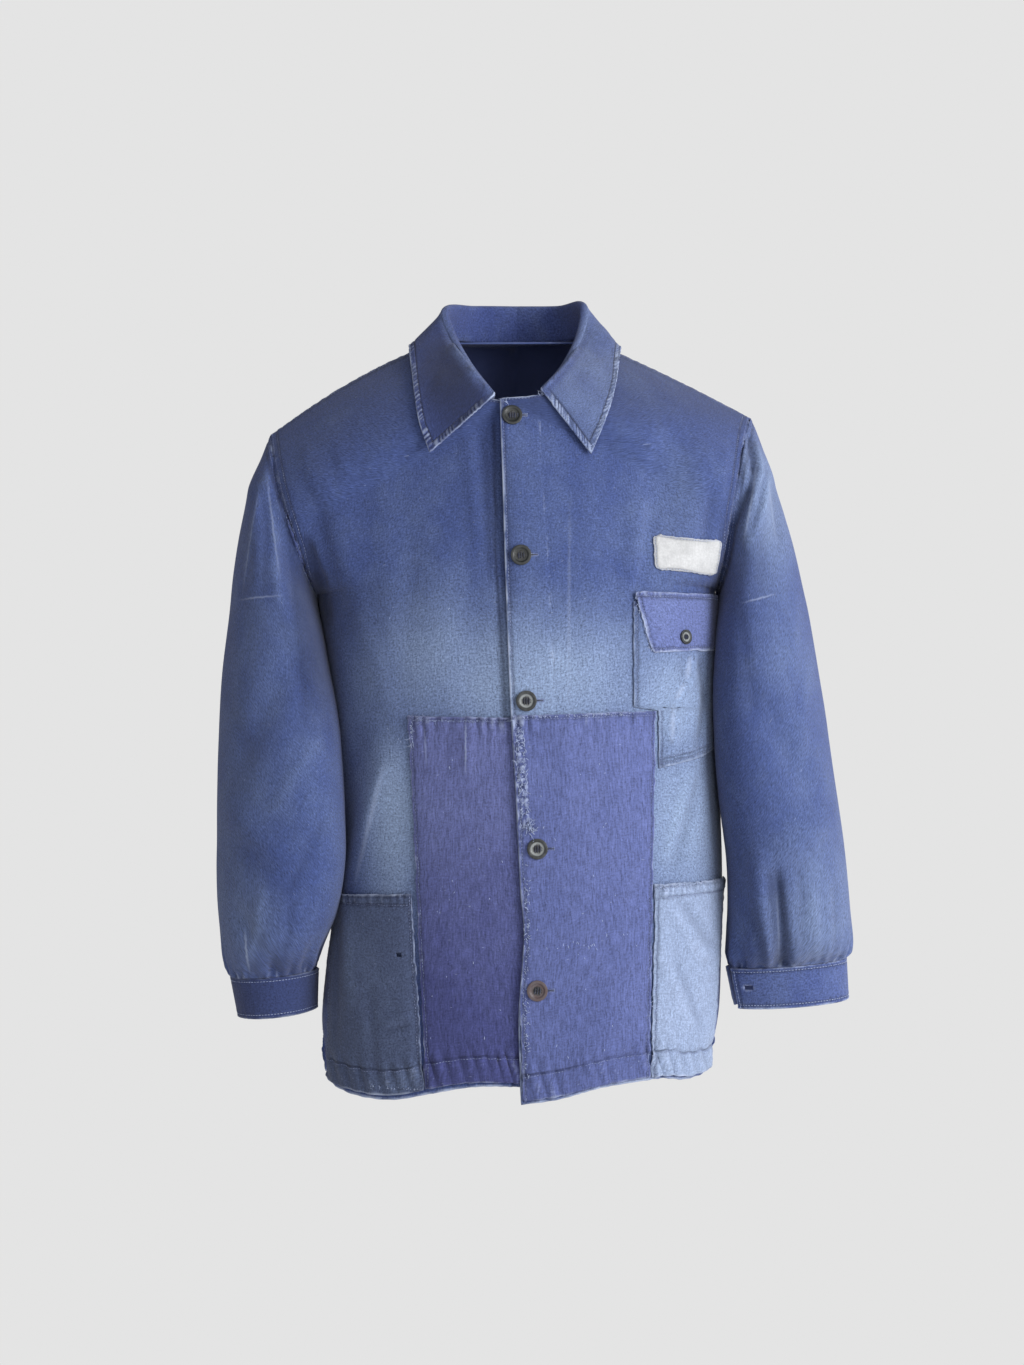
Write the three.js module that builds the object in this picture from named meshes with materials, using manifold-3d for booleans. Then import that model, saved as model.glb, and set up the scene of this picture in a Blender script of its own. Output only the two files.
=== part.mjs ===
// A worn blue cotton work jacket with sewn patches, hollow as if worn, in millimetres, +Z up.
// The front faces -Y, the wearer's left is +X, and the origin is the middle of the neck opening,
// level with the points where the shoulder seams meet the collar.

import * as THREE from 'three';
import { mergeVertices } from 'three/addons/utils/BufferGeometryUtils.js';
import Module from 'manifold-3d';

const wasm = await Module();
wasm.setup();

// Cloth thicknesses and gaps
const cloth = 1.6;
const hemCloth = 2.6;
const patchCloth = 1.2;
const pocketCloth = 1.3;
const collarCloth = 2.0;
const cuffCloth = 2.4;
const labelCloth = 1.0;
const seamGap = 0.3;
const layerGap = 1.0;

// A panel runs from v = 0 at the hem to v = 1 at the shoulder seam
const armpitRow = 0.62;
const armholeSteps = 14;
const armholeRow = (step) => armpitRow + (1 - armpitRow) * step / armholeSteps;
const frontNeckRow = armholeRow(7);
const backNeckRow = armholeRow(10);
const collarEndRow = 0.87;
const hemRow = 0.045;
const hemFoldTop = -660;
const hemFade = 14;

// Each side of the body: the side seam, the armhole's guide points and the line of the neck,
// as rows of a panel's v, x, y and z. A guide point is x, y (in front), y (behind) and z.
const sides = {
  right: {
    seam: [
      [0, -178, 0, -677], [0.07, -180, 0, -627], [0.14, -176, 0, -578], [0.22, -169, 0, -521],
      [0.34, -167, 0, -437], [0.48, -172, 0, -337], [armpitRow, -184, 0, -236],
    ],
    armpit: [-184, 0, 0, -236],
    armholeLow: [-183, -78, 72, -238],
    armholeHigh: [-217, -84, 88, -138],
    shoulder: [-228, 0, 0, -88],
    neck: [-73, 0, -1],
  },
  left: {
    seam: [
      [0, 179, 0, -667], [0.07, 186, 0, -618], [0.14, 188, 0, -570], [0.27, 189, 0, -478],
      [0.45, 184, 0, -351], [armpitRow, 183, 0, -232],
    ],
    armpit: [183, 0, 0, -232],
    armholeLow: [181, -78, 72, -232],
    armholeHigh: [196, -84, 88, -116],
    shoulder: [216, 0, 0, -72],
    neck: [72, 0, -2],
  },
};

// The free front edge of each front, and its neckline up to the shoulder seam
const frontEdges = {
  left: {
    edge: [
      [0, 4, -131, -681], [0.1, 1.5, -130, -607], [0.2, 6, -128, -534], [0.25, 3, -127, -497],
      [0.36, -1, -124.5, -416], [0.48, -6, -121, -328], [armpitRow, -10, -117, -225],
      [0.72, -12.5, -107, -146], [frontNeckRow, -15, -88, -66],
    ],
    neckline: [
      [frontNeckRow, -15, -88, -66], [collarEndRow, 21, -87, -62], [0.91, 46, -71, -48],
      [0.955, 65, -40, -25], [1, ...sides.left.neck],
    ],
  },
  right: {
    edge: [
      [0, 33, -125, -668], [0.07, 33.5, -124.2, -620], [0.2, 34, -122.8, -530], [0.36, 29, -119.4, -414],
      [0.48, 24, -115.8, -327], [armpitRow, 18, -112, -225], [0.72, 14, -100.8, -146],
      [frontNeckRow, 11, -81.6, -67],
    ],
    neckline: [
      [frontNeckRow, 11, -81.6, -67], [collarEndRow, -21, -84, -66], [0.91, -46, -70, -50],
      [0.955, -66, -40, -26], [1, ...sides.right.neck],
    ],
  },
};
const centreBack = [
  [0, -2, 121, -684], [0.2, -1, 113, -540], [0.42, 0, 99, -380], [armpitRow, 0, 111, -236],
  [0.76, 0, 113, -132], [0.84, 0, 96, -56], [backNeckRow, 0, 60, 5],
];
const backNeckline = (neck) => [
  [backNeckRow, 0, 60, 5], [0.935, neck[0] * 0.55, 49, 5], [0.97, neck[0] * 0.88, 24, 3], [1, ...neck],
];

// How full the body is between its centre line and its side: 2 is an ellipse, 1 a straight line
const fullness = [[0, 2.35], [0.4, 2.3], [armpitRow, 2.25], [0.8, 1.95], [0.9, 1.55], [1, 1.12]];

// How far the fronts' hem hangs off the straight line between its ends, by a panel's u, in z
const hemLines = {
  right: [[0, 0], [0.1, 2.8], [0.22, 3.6], [0.34, -2.2], [0.45, -8], [0.58, -7.5], [0.8, -2], [1, 0]],
  left: [[0, 0], [0.12, 2], [0.25, 7.8], [0.4, 8.6], [0.48, 7.5], [0.6, 1.4], [1, 0]],
};
const hemLineRow = 0.12;

// How far the shoulder seams bow up between the neck and the sleeve, and from which row
const shoulderRise = { right: 8, left: 2 };
const shoulderRiseRow = 0.8;

// The short open vent at the bottom of each side seam: where it ends, and how far it opens
const ventRow = 0.08;
const ventOpening = { right: 15, left: 9 };

// Each sleeve: its outer and inner line as t, x and z, from the armhole (t = 0) to the cuff (t = 1),
// then its middle's y, its half depth, and how far its inner side is carried forward, as t and y
const sleeves = {
  right: {
    outer: [
      [0, -228, -88], [0.05, -236.5, -108], [0.12, -245.5, -138], [0.22, -256, -190], [0.34, -263, -252],
      [0.46, -269.5, -316], [0.58, -272, -385], [0.7, -272, -452], [0.82, -271, -514], [0.92, -266, -558],
      [1, -260, -583],
    ],
    inner: [
      [0, -184, -236], [0.05, -187, -242], [0.12, -184, -256], [0.22, -175, -286], [0.34, -163, -335],
      [0.46, -157, -385], [0.58, -153.5, -432], [0.7, -153, -478], [0.82, -161, -522], [0.92, -176, -557],
      [1, -184, -577],
    ],
    middle: [[0, 3], [0.3, -8], [0.5, -22], [0.7, -32], [0.9, -36], [1, -35]],
    depth: [[0, 62], [0.14, 66], [0.3, 67], [0.5, 66], [0.7, 64], [0.88, 60], [1, 38]],
    lean: [[0, 0], [0.1, 6], [0.25, 24], [0.45, 34], [0.7, 34], [0.88, 18], [1, 0]],
  },
  left: {
    outer: [
      [0, 216, -72], [0.05, 226.5, -96], [0.12, 237.5, -132], [0.22, 252.5, -188], [0.34, 267.5, -255],
      [0.46, 278, -322], [0.58, 287.5, -394], [0.7, 296, -458], [0.82, 301.5, -519], [0.92, 302.5, -552],
      [1, 299, -565.8],
    ],
    inner: [
      [0, 183, -232], [0.05, 185, -238], [0.12, 183, -250], [0.22, 178, -276], [0.34, 175, -322],
      [0.46, 175.5, -368], [0.58, 180, -420], [0.7, 188, -474], [0.82, 190, -524], [0.92, 189, -558],
      [1, 193, -574.8],
    ],
    middle: [[0, 3], [0.3, -6], [0.5, -18], [0.7, -28], [0.9, -35], [1, -36]],
    depth: [[0, 62], [0.14, 66], [0.3, 66], [0.5, 62], [0.7, 58], [0.88, 52], [1, 33]],
    lean: [[0, 0], [0.1, 8], [0.25, 30], [0.45, 34], [0.7, 20], [0.88, 6], [1, 0]],
  },
};

// Each cuff: the x and z of its outer and inner line at its top and bottom, its middle's y and half
// depth, and the turn that its strip makes: from the end that lies under to the end that laps over
const cuffs = {
  right: {
    top: { outer: [-260.5, -584], inner: [-183.5, -578] },
    bottom: { outer: [-254, -619], inner: [-184.5, -613] },
    middle: -35, depth: 38, start: 205, turn: 392, spread: 0,
  },
  left: {
    top: { outer: [299.5, -567], inner: [189.5, -576] },
    bottom: { outer: [301.5, -603], inner: [196.5, -611] },
    middle: -36, depth: 33, start: 192, turn: 322, spread: 1,
  },
};

// The collar along its seam, from s = 0 at the centre back to s = 1 at its front end:
// the top of its roll, and its outer edge, as s, x (outwards), y and z
const shoulderSeamOnCollar = 0.42;
const collars = {
  right: {
    roll: [
      [0, 0, 62, 42], [0.2, 40, 49, 40], [shoulderSeamOnCollar, 66, 4, 31], [0.6, 59, -18, 3],
      [0.8, 41, -52, -31], [1, 20.5, -86, -61],
    ],
    edge: [
      [0, 0, 88, -12], [0.2, 57, 68, -10], [shoulderSeamOnCollar, 95, 16, -7], [0.53, 99, -14, -8],
      [0.7, 92, -56, -52], [0.86, 85, -80, -90], [1, 77, -93, -114],
    ],
  },
  left: {
    roll: [
      [0, 0, 62, 42], [0.2, 39, 49, 40], [shoulderSeamOnCollar, 61, 4, 35], [0.6, 58, -18, 5],
      [0.8, 41, -52, -31], [1, 21.5, -87, -57],
    ],
    edge: [
      [0, 0, 88, -12], [0.2, 55, 68, -10], [shoulderSeamOnCollar, 91, 16, -8], [0.53, 95, -14, -10],
      [0.7, 84, -56, -60], [0.86, 75, -80, -90], [1, 65, -93, -115],
    ],
  },
};

// Soft ridges and, with a height below 0, troughs of the cloth, seen from the front (face -1) or
// from behind (face 1): where each starts and ends in x and z, its half width and its height
const creases = [
  { on: 'body', face: -1, from: [148, -98], to: [126, -175], width: 16, height: -4.5 },
  { on: 'body', face: -1, from: [170, -110], to: [146, -215], width: 14, height: 3.5 },
  { on: 'body', face: -1, from: [-165, -110], to: [-150, -230], width: 16, height: 3 },
  { on: 'body', face: -1, from: [-188, -150], to: [-158, -262], width: 12, height: -3.5 },
  { on: 'body', face: -1, from: [-118, -385], to: [-150, -500], width: 16, height: 3.5 },
  { on: 'body', face: -1, from: [-146, -370], to: [-160, -470], width: 14, height: -3.5 },
  { on: 'body', face: -1, from: [150, -300], to: [160, -460], width: 16, height: 3 },
  { on: 'body', face: 1, from: [-150, -120], to: [-95, -250], width: 18, height: -4.5 },
  { on: 'body', face: 1, from: [148, -110], to: [95, -250], width: 18, height: -4.5 },
  { on: 'body', face: 1, from: [-60, -300], to: [-95, -660], width: 24, height: 5 },
  { on: 'body', face: 1, from: [70, -300], to: [100, -660], width: 24, height: 5 },
  { on: 'body', face: 1, from: [5, -380], to: [0, -670], width: 26, height: -4 },
  { on: 'right', face: -1, from: [-240, -120], to: [-226, -215], width: 10, height: 4 },
  { on: 'right', face: -1, from: [-222, -130], to: [-206, -230], width: 10, height: -4 },
  { on: 'right', face: -1, from: [-200, -300], to: [-250, -400], width: 14, height: -3.5 },
  { on: 'right', face: -1, from: [-252, -430], to: [-205, -470], width: 14, height: 4 },
  { on: 'right', face: -1, from: [-245, -520], to: [-215, -575], width: 10, height: -4 },
  { on: 'right', face: 1, from: [-205, -330], to: [-262, -370], width: 15, height: -5 },
  { on: 'right', face: 1, from: [-200, -430], to: [-260, -400], width: 15, height: 4 },
  { on: 'left', face: -1, from: [209, -98], to: [206, -160], width: 9, height: -5 },
  { on: 'left', face: -1, from: [226, -105], to: [211, -190], width: 10, height: 4 },
  { on: 'left', face: -1, from: [238, -140], to: [222, -240], width: 10, height: -3 },
  { on: 'left', face: -1, from: [208, -330], to: [262, -420], width: 14, height: -3.5 },
  { on: 'left', face: -1, from: [275, -440], to: [225, -470], width: 14, height: 3.5 },
  { on: 'left', face: -1, from: [211, -470], to: [222, -572], width: 9, height: 5 },
  { on: 'left', face: -1, from: [227, -488], to: [236, -574], width: 5, height: -7 },
  { on: 'left', face: 1, from: [200, -340], to: [275, -375], width: 15, height: -5 },
  { on: 'left', face: 1, from: [205, -440], to: [280, -405], width: 15, height: 4 },
];
const gatherWaves = 9;
const gatherHeight = 2.2;
const gatherRise = 0.16;
const bodyClearance = { right: 2.2, left: 5.2 };

// Grid steps across and along each kind of piece, a panel's rows being those below the armpit
const [frontAcross, frontBelow] = [12, 19];
const [backAcross, backBelow] = [10, 17];
const [sleeveAround, sleeveDown] = [2 * armholeSteps, 20];
const [cuffAround, cuffUp] = [24, 2];
const [collarAlong, collarFall] = [15, 7];
const [patchAcross, patchUp] = [8, 16];
const [hipAcross, hipUp] = [6, 9];
const [chestAcross, chestUps] = [7, [3, 1, 6]];
const [flapAcross, flapUp] = [7, 3];
const [labelAcross, labelUp] = [8, 4];

// Small helpers
const vec = (x, y, z) => new THREE.Vector3(x, y, z);
const mix = (a, b, k) => a + (b - a) * k;
const clamp = (value, low, high) => Math.min(high, Math.max(low, value));
const ease = (k) => k * k * (3 - 2 * k);
const ramp = (k) => ease(clamp(k, 0, 1));
const outward = (side) => (side === 'left' ? 1 : -1);

// A smooth curve through rows that each start with their parameter
function track(keys) {
  return (at) => {
    let k = 0;
    while (k < keys.length - 2 && at > keys[k + 1][0]) {
      k += 1;
    }
    const [start, ...from] = keys[k];
    const [end, ...to] = keys[k + 1];
    const before = keys[Math.max(k - 1, 0)];
    const after = keys[Math.min(k + 2, keys.length - 1)];
    const span = end - start;
    const s = (at - start) / span;
    return from.map((value, i) => {
      const slopeIn = (to[i] - before[i + 1]) / (end - before[0]);
      const slopeOut = (after[i + 1] - value) / (after[0] - start);
      return (2 * s ** 3 - 3 * s ** 2 + 1) * value + (s ** 3 - 2 * s ** 2 + s) * span * slopeIn
        + (3 * s ** 2 - 2 * s ** 3) * to[i] + (s ** 3 - s ** 2) * span * slopeOut;
    });
  };
}

// The point at k of a curve with two guide points
function guided(points, k) {
  const m = 1 - k;
  const weights = [m ** 3, 3 * m * m * k, 3 * m * k * k, k ** 3];
  return [0, 1, 2].map((i) => weights.reduce((sum, weight, n) => sum + weight * points[n][i], 0));
}

// A unit corner curve between an ellipse and a straight line: how far along, and how far out
function corner(u, full) {
  const s = Math.sin(u * Math.PI / 2);
  const c = Math.cos(u * Math.PI / 2);
  const r = (s ** full + c ** full) ** (-1 / full);
  return [r * s, r * c];
}

// How far the creases of one part lift the cloth at x and z, on the front (-1) or the back (1)
function lift(on, face, x, z) {
  let sum = 0;
  for (const crease of creases) {
    if (crease.on !== on || crease.face !== face) {
      continue;
    }
    const [x0, z0] = crease.from;
    const dx = crease.to[0] - x0;
    const dz = crease.to[1] - z0;
    const along = ((x - x0) * dx + (z - z0) * dz) / (dx * dx + dz * dz);
    const kept = clamp(along, 0, 1);
    const away = Math.hypot(x - x0 - kept * dx, z - z0 - kept * dz) / crease.width;
    const taper = ramp(1.4 - Math.abs(kept - 0.5) * 1.6);
    sum += crease.height * taper * Math.exp(-away * away);
  }
  return sum;
}

// A body point moved out by its creases, level with the floor, and not at all at the side seams
function creased(x, y, z) {
  const face = y < 0 ? -1 : 1;
  const fade = ramp((Math.abs(y) - 12) / 40);
  const height = lift('body', face, x, z) * fade;
  const out = vec(x / 180, y / 120, 0).normalize();
  return vec(x, y, z).addScaledVector(out, height);
}

// The front and back panels
const seamTracks = { right: track(sides.right.seam), left: track(sides.left.seam) };
const fullnessTrack = track(fullness);
const hemTracks = { right: track(hemLines.right), left: track(hemLines.left) };
const edgeTracks = { right: track(frontEdges.right.edge), left: track(frontEdges.left.edge) };
const necklines = { right: track(frontEdges.right.neckline), left: track(frontEdges.left.neckline) };
const backTrack = track(centreBack);
const backNecklines = {
  right: track(backNeckline(sides.right.neck)), left: track(backNeckline(sides.left.neck)),
};

function armhole(side, face, k) {
  const guides = sides[side];
  const pick = ([x, front, back, z]) => [x, face < 0 ? front : back, z];
  return guided([guides.armpit, guides.armholeLow, guides.armholeHigh, guides.shoulder].map(pick), k);
}

function sideEnd(side, face, v) {
  const k = Math.round((v - armpitRow) / (1 - armpitRow) * 1e6) / 1e6;
  const end = v <= armpitRow ? seamTracks[side](v) : armhole(side, face, k);
  const gap = k <= 0 || k >= 1 ? face * seamGap * 0.6 : 0;
  const vent = face < 0 ? ventOpening[side] * ramp(1 - v / ventRow) : 0;
  return [end[0] - outward(side) * vent * 0.35, end[1] + gap - vent, end[2]];
}

function panelPoint(side, face, u, v) {
  let middle;
  if (face < 0) {
    middle = v <= frontNeckRow ? edgeTracks[side](v) : necklines[side](v);
  } else {
    middle = v <= backNeckRow ? backTrack(v) : backNecklines[side](v);
  }
  const end = sideEnd(side, face, v);
  const [along, out] = corner(u, fullnessTrack(v)[0]);
  const gap = v === 1 ? face * seamGap * 0.6 : 0;
  const y = mix(end[1], middle[1] + gap, out);
  const hang = face < 0 ? hemTracks[side](u)[0] * ramp(1 - v / hemLineRow) : 0;
  const bow = shoulderRise[side] * 4 * along * (1 - along);
  const high = bow * ramp((v - shoulderRiseRow) / (1 - shoulderRiseRow));
  return creased(mix(middle[0], end[0], along), y, mix(middle[2], end[2], along) + hang + high);
}

// The direction in which a seam's cut edge points, the same for both pieces that meet there
function armholeOut(side, point) {
  const low = vec(sides[side].armpit[0], 3, sides[side].armpit[3]);
  const high = vec(sides[side].shoulder[0], 3, sides[side].shoulder[3]);
  const middle = low.clone().lerp(high, 0.5);
  const across = high.sub(low).normalize();
  const away = point.clone().sub(middle);
  return across.multiplyScalar(away.dot(across)).add(vec(0, away.y, 0)).normalize();
}

function panelCut(side, face, u, v) {
  const point = panelPoint(side, face, u, v);
  if (u === 1 && v >= armpitRow) {
    return armholeOut(side, point);
  }
  if (u === 1) {
    return vec(outward(side), 0, 0);
  }
  if (v === 1) {
    return vec(outward(side) * 0.42, 0, 0.9).normalize();
  }
  return null;
}

// A sheet is a list of points with faces between them, and may fix the direction of its cut edges
function sheet(us, vs, pointAt, cutAt = () => null) {
  const points = [];
  const cuts = [];
  const faces = [];
  for (const v of vs) {
    for (const u of us) {
      points.push(pointAt(u, v));
      cuts.push(cutAt(u, v));
    }
  }
  const row = us.length;
  for (let j = 0; j < vs.length - 1; j += 1) {
    for (let i = 0; i < row - 1; i += 1) {
      const a = j * row + i;
      faces.push([a, a + 1, a + row + 1], [a, a + row + 1, a + row]);
    }
  }
  return { points, cuts, faces };
}

// Sheets joined wherever their points lie in one place
function joined(...parts) {
  const places = new Map();
  const whole = { points: [], cuts: [], faces: [] };
  for (const part of parts) {
    const ids = part.points.map((point, i) => {
      const key = [point.x, point.y, point.z].map((value) => Math.round(value * 1000)).join(' ');
      if (!places.has(key)) {
        places.set(key, whole.points.length);
        whole.points.push(point);
        whole.cuts.push(part.cuts[i]);
      }
      return places.get(key);
    });
    for (const face of part.faces) {
      const [a, b, c] = face.map((i) => ids[i]);
      if (a !== b && b !== c && c !== a) {
        whole.faces.push([a, b, c]);
      }
    }
  }
  return whole;
}

function flipped(part) {
  return { ...part, faces: part.faces.map(([a, b, c]) => [a, c, b]) };
}

function normalsOf({ points, faces }) {
  const normals = points.map(() => vec(0, 0, 0));
  for (const [a, b, c] of faces) {
    const n = points[b].clone().sub(points[a]).cross(points[c].clone().sub(points[a]));
    [a, b, c].forEach((i) => normals[i].add(n));
  }
  return normals.map((n) => n.normalize());
}

// A closed wall: the sheet moved out by rise, and again further in by the thickness of the cloth
function wall(part, thickness, rise = 0) {
  const normals = normalsOf(part);
  const count = part.points.length;
  const positions = [];
  const outer = part.points.map((point, i) => point.clone().addScaledVector(normals[i], rise));
  const inner = outer.map((point, i) => {
    const depth = typeof thickness === 'function' ? thickness(part.points[i]) : thickness;
    return point.clone().addScaledVector(part.cuts[i] ?? normals[i], -depth);
  });
  [...outer, ...inner].forEach((point) => positions.push(point.x, point.y, point.z));
  const index = [];
  const open = new Map();
  for (const [a, b, c] of part.faces) {
    index.push(a, b, c, a + count, c + count, b + count);
    for (const [from, to] of [[a, b], [b, c], [c, a]]) {
      if (!open.delete(`${to} ${from}`)) {
        open.set(`${from} ${to}`, [from, to]);
      }
    }
  }
  for (const [from, to] of open.values()) {
    index.push(from, from + count, to + count, from, to + count, to);
  }
  const geometry = new THREE.BufferGeometry();
  geometry.setAttribute('position', new THREE.Float32BufferAttribute(positions, 3));
  geometry.setIndex(index);
  geometry.computeVertexNormals();
  return geometry;
}

// Evenly spaced values from low to high, with any extra values added to them
function spaced(low, high, count, ...extra) {
  const even = Array.from({ length: count + 1 }, (_, i) => mix(low, high, i / count));
  const gap = (high - low) / count;
  const kept = even.filter((value) => extra.every((added) => Math.abs(value - added) > gap * 0.35));
  return [...new Set([low, high, ...kept, ...extra])].sort((a, b) => a - b);
}

function hemThickness(point) {
  return mix(hemCloth, cloth, ramp((point.z - hemFoldTop) / hemFade));
}

// A panel's rows: so many below the armpit, then the same along the armhole as the sleeve has
function panelRows(below) {
  const above = Array.from({ length: armholeSteps }, (_, i) => armholeRow(i + 1));
  return [...spaced(0, armpitRow, below, hemRow), ...above];
}

function frontSheet(side) {
  const us = spaced(0, 1, frontAcross);
  const vs = panelRows(frontBelow);
  const part = sheet(us, vs, (u, v) => panelPoint(side, -1, u, v), (u, v) => panelCut(side, -1, u, v));
  return side === 'left' ? part : flipped(part);
}

function backSheet() {
  const us = spaced(0, 1, backAcross);
  const vs = panelRows(backBelow);
  const half = (side) => {
    const part = sheet(us, vs, (u, v) => panelPoint(side, 1, u, v), (u, v) => panelCut(side, 1, u, v));
    return side === 'left' ? flipped(part) : part;
  };
  return joined(half('left'), half('right'));
}

// The cloth that other pieces must stay clear of, as points with their outward directions
function cloud(parts) {
  const list = [];
  for (const part of parts) {
    const normals = normalsOf(part);
    part.points.forEach((point, i) => list.push({ point, normal: normals[i] }));
    for (const [a, b, c] of part.faces) {
      const point = part.points[a].clone().add(part.points[b]).add(part.points[c]).divideScalar(3);
      const normal = normals[a].clone().add(normals[b]).add(normals[c]).normalize();
      list.push({ point, normal });
    }
  }
  return list;
}

// A point moved out until it is at least so far off the cloth nearest to it
function standOff(point, near, clearance) {
  let best = null;
  let least = 60 * 60;
  for (const sample of near) {
    const distance = sample.point.distanceToSquared(point);
    if (distance < least) {
      least = distance;
      best = sample;
    }
  }
  if (!best) {
    return point;
  }
  const height = point.clone().sub(best.point).dot(best.normal);
  return height < clearance ? point.clone().addScaledVector(best.normal, clearance - height) : point;
}

const sheets = { frontRight: frontSheet('right'), frontLeft: frontSheet('left'), back: backSheet() };
const bodyCloud = cloud(Object.values(sheets));

// Sleeves: rings from the armhole down to the cuff. A turn of 0 is the outer line, 0.25 the front.
const sleeveTracks = {};
for (const side of ['right', 'left']) {
  const lines = sleeves[side];
  sleeveTracks[side] = {
    outer: track(lines.outer),
    inner: track(lines.inner),
    middle: track(lines.middle),
    depth: track(lines.depth),
    lean: track(lines.lean),
  };
}

function armholeLoop(side, turn) {
  const face = turn <= 0.5 ? -1 : 1;
  const k = Math.abs(1 - 2 * turn);
  const [x, y, z] = armhole(side, face, k);
  return vec(x, y, z);
}

function sleevePoint(side, turn, t) {
  const lines = sleeveTracks[side];
  const [xOut, zOut] = lines.outer(t);
  const [xIn, zIn] = lines.inner(t);
  const angle = turn * 2 * Math.PI;
  const full = 2.15;
  const c = Math.cos(angle);
  const s = Math.sin(angle);
  const r = (Math.abs(c) ** full + Math.abs(s) ** full) ** (-1 / full);
  const half = vec((xOut - xIn) / 2, 0, (zOut - zIn) / 2);
  const forward = lines.middle(t)[0] - lines.lean(t)[0] * (1 - r * c) / 2;
  const point = vec((xOut + xIn) / 2, forward - lines.depth(t)[0] * r * s, (zOut + zIn) / 2);
  point.addScaledVector(half, r * c);
  const out = vec(r * c * outward(side), -r * s, 0).normalize();
  const face = s > 0 ? -1 : 1;
  const waves = Math.cos(angle * gatherWaves) * gatherHeight * ramp(1 - (1 - t) / gatherRise);
  const held = ramp((1 - t) / 0.03);
  const folds = lift(side, face, point.x, point.z) * ramp(Math.abs(s) * 1.6);
  point.addScaledVector(out, waves * held + folds * ramp(t / 0.06) * held);
  const sewn = ramp(1 - t / 0.12);
  return point.lerp(armholeLoop(side, turn), sewn);
}

function sleeveSheet(side) {
  const vs = [0, 0.02, ...spaced(0.05, 1, sleeveDown)];
  const us = spaced(0, 1, sleeveAround);
  const apart = vec(outward(side), 0, -0.22).normalize();
  const pointAt = (u, v) => {
    const turn = u === 1 ? 0 : u;
    const point = sleevePoint(side, turn, v);
    const inner = ramp(0.6 - Math.cos(turn * 2 * Math.PI) * 1.2) * ramp(v / 0.08);
    const clear = standOff(point, bodyCloud, bodyClearance[side]);
    return clear.lerp(point, 1 - inner).addScaledVector(apart, seamGap + (v < 0.01 ? 0 : 0.4));
  };
  const cutAt = (u, v) => (v === 0 ? armholeOut(side, armholeLoop(side, u === 1 ? 0 : u)) : null);
  const part = joined(sheet(us, vs, pointAt, cutAt));
  return side === 'left' ? part : flipped(part);
}

// Cuffs: a strip wound once round the wrist, whose end laps over its start or stands open
function cuffPoint(side, q, h) {
  const cuff = cuffs[side];
  const place = (name) => [0, 1].map((i) => mix(cuff.bottom[name][i], cuff.top[name][i], h));
  const [xOut, zOut] = place('outer');
  const [xIn, zIn] = place('inner');
  const degrees = cuff.start + q * cuff.turn;
  const angle = degrees * Math.PI / 180;
  const c = Math.cos(angle);
  const s = Math.sin(angle);
  const lap = ramp((degrees - cuff.start - 300) / 60);
  const grow = lap * (cuffCloth + layerGap) + cuff.spread * ramp((q - 0.75) / 0.25) * 1.5;
  const point = vec((xOut + xIn) / 2, cuff.middle - (cuff.depth + grow) * s, (zOut + zIn) / 2);
  point.addScaledVector(vec((xOut - xIn) / 2, 0, (zOut - zIn) / 2), c);
  return point.addScaledVector(vec(outward(side), 0, 0), grow * c);
}

function cuffSheet(side) {
  const part = sheet(spaced(0, 1, cuffAround), spaced(0, 1, cuffUp), (q, h) => cuffPoint(side, q, h));
  return side === 'left' ? flipped(part) : part;
}

// Collar: up from the neck seam, over the roll and down to its outer edge
function neckSeam(side, s) {
  const k = s / shoulderSeamOnCollar;
  const row = s < shoulderSeamOnCollar
    ? mix(backNeckRow, 1, k)
    : mix(1, collarEndRow, (s - shoulderSeamOnCollar) / (1 - shoulderSeamOnCollar));
  const [x, y, z] = (s < shoulderSeamOnCollar ? backNecklines : necklines)[side](row);
  return vec(x, y, z);
}

const collarTracks = {};
for (const side of ['right', 'left']) {
  collarTracks[side] = { roll: track(collars[side].roll), edge: track(collars[side].edge) };
}
const rollTurn = 0.45;

function collarPoint(side, s, t) {
  const tracks = collarTracks[side];
  const seam = neckSeam(side, s);
  const toWorld = ([x, y, z]) => vec(x * outward(side), y, z);
  const roll = toWorld(tracks.roll(s));
  const edge = toWorld(tracks.edge(s));
  const out = vec(roll.x, roll.y * (roll.y < 0 ? 1 : 1.15), 0).normalize();
  if (s > 0.86) {
    out.lerp(vec(0, -1, 0), ease((s - 0.86) / 0.14)).normalize();
  }
  const radius = mix(3.2, 1.9, ramp((s - 0.5) / 0.5));
  const middle = roll.clone().add(vec(0, 0, -radius));
  const foot = seam.clone().addScaledVector(out, -1.2 - collarCloth / 2).add(vec(0, 0, 1.4));
  const inside = middle.clone().addScaledVector(out, -radius);
  const outside = middle.clone().addScaledVector(out, radius);
  if (t < 0.3) {
    return foot.lerp(inside, t / 0.3);
  }
  if (t < rollTurn) {
    const angle = Math.PI * (t - 0.3) / (rollTurn - 0.3);
    return middle.addScaledVector(out, -radius * Math.cos(angle)).add(vec(0, 0, radius * Math.sin(angle)));
  }
  const k = (t - rollTurn) / (1 - rollTurn);
  const bow = 4 * k * (1 - k) * mix(4, 1, s);
  const point = outside.lerp(edge, k).addScaledVector(out, bow);
  const clearance = collarCloth / 2 + mix(1.8, 2.4, k);
  return standOff(standOff(point, bodyCloud, clearance), bodyCloud, clearance);
}

function collarSheet() {
  const ts = [0, 0.15, 0.3, 0.35, 0.4, rollTurn, ...spaced(rollTurn, 1, collarFall).slice(1)];
  const ss = spaced(0, 1, collarAlong).map((s) => 1 - (1 - s) ** 1.35);
  const left = sheet(ss, ts, (s, t) => collarPoint('left', s, t));
  const right = sheet(ss, ts, (s, t) => collarPoint('right', s, t));
  return joined(left, flipped(right));
}

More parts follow.
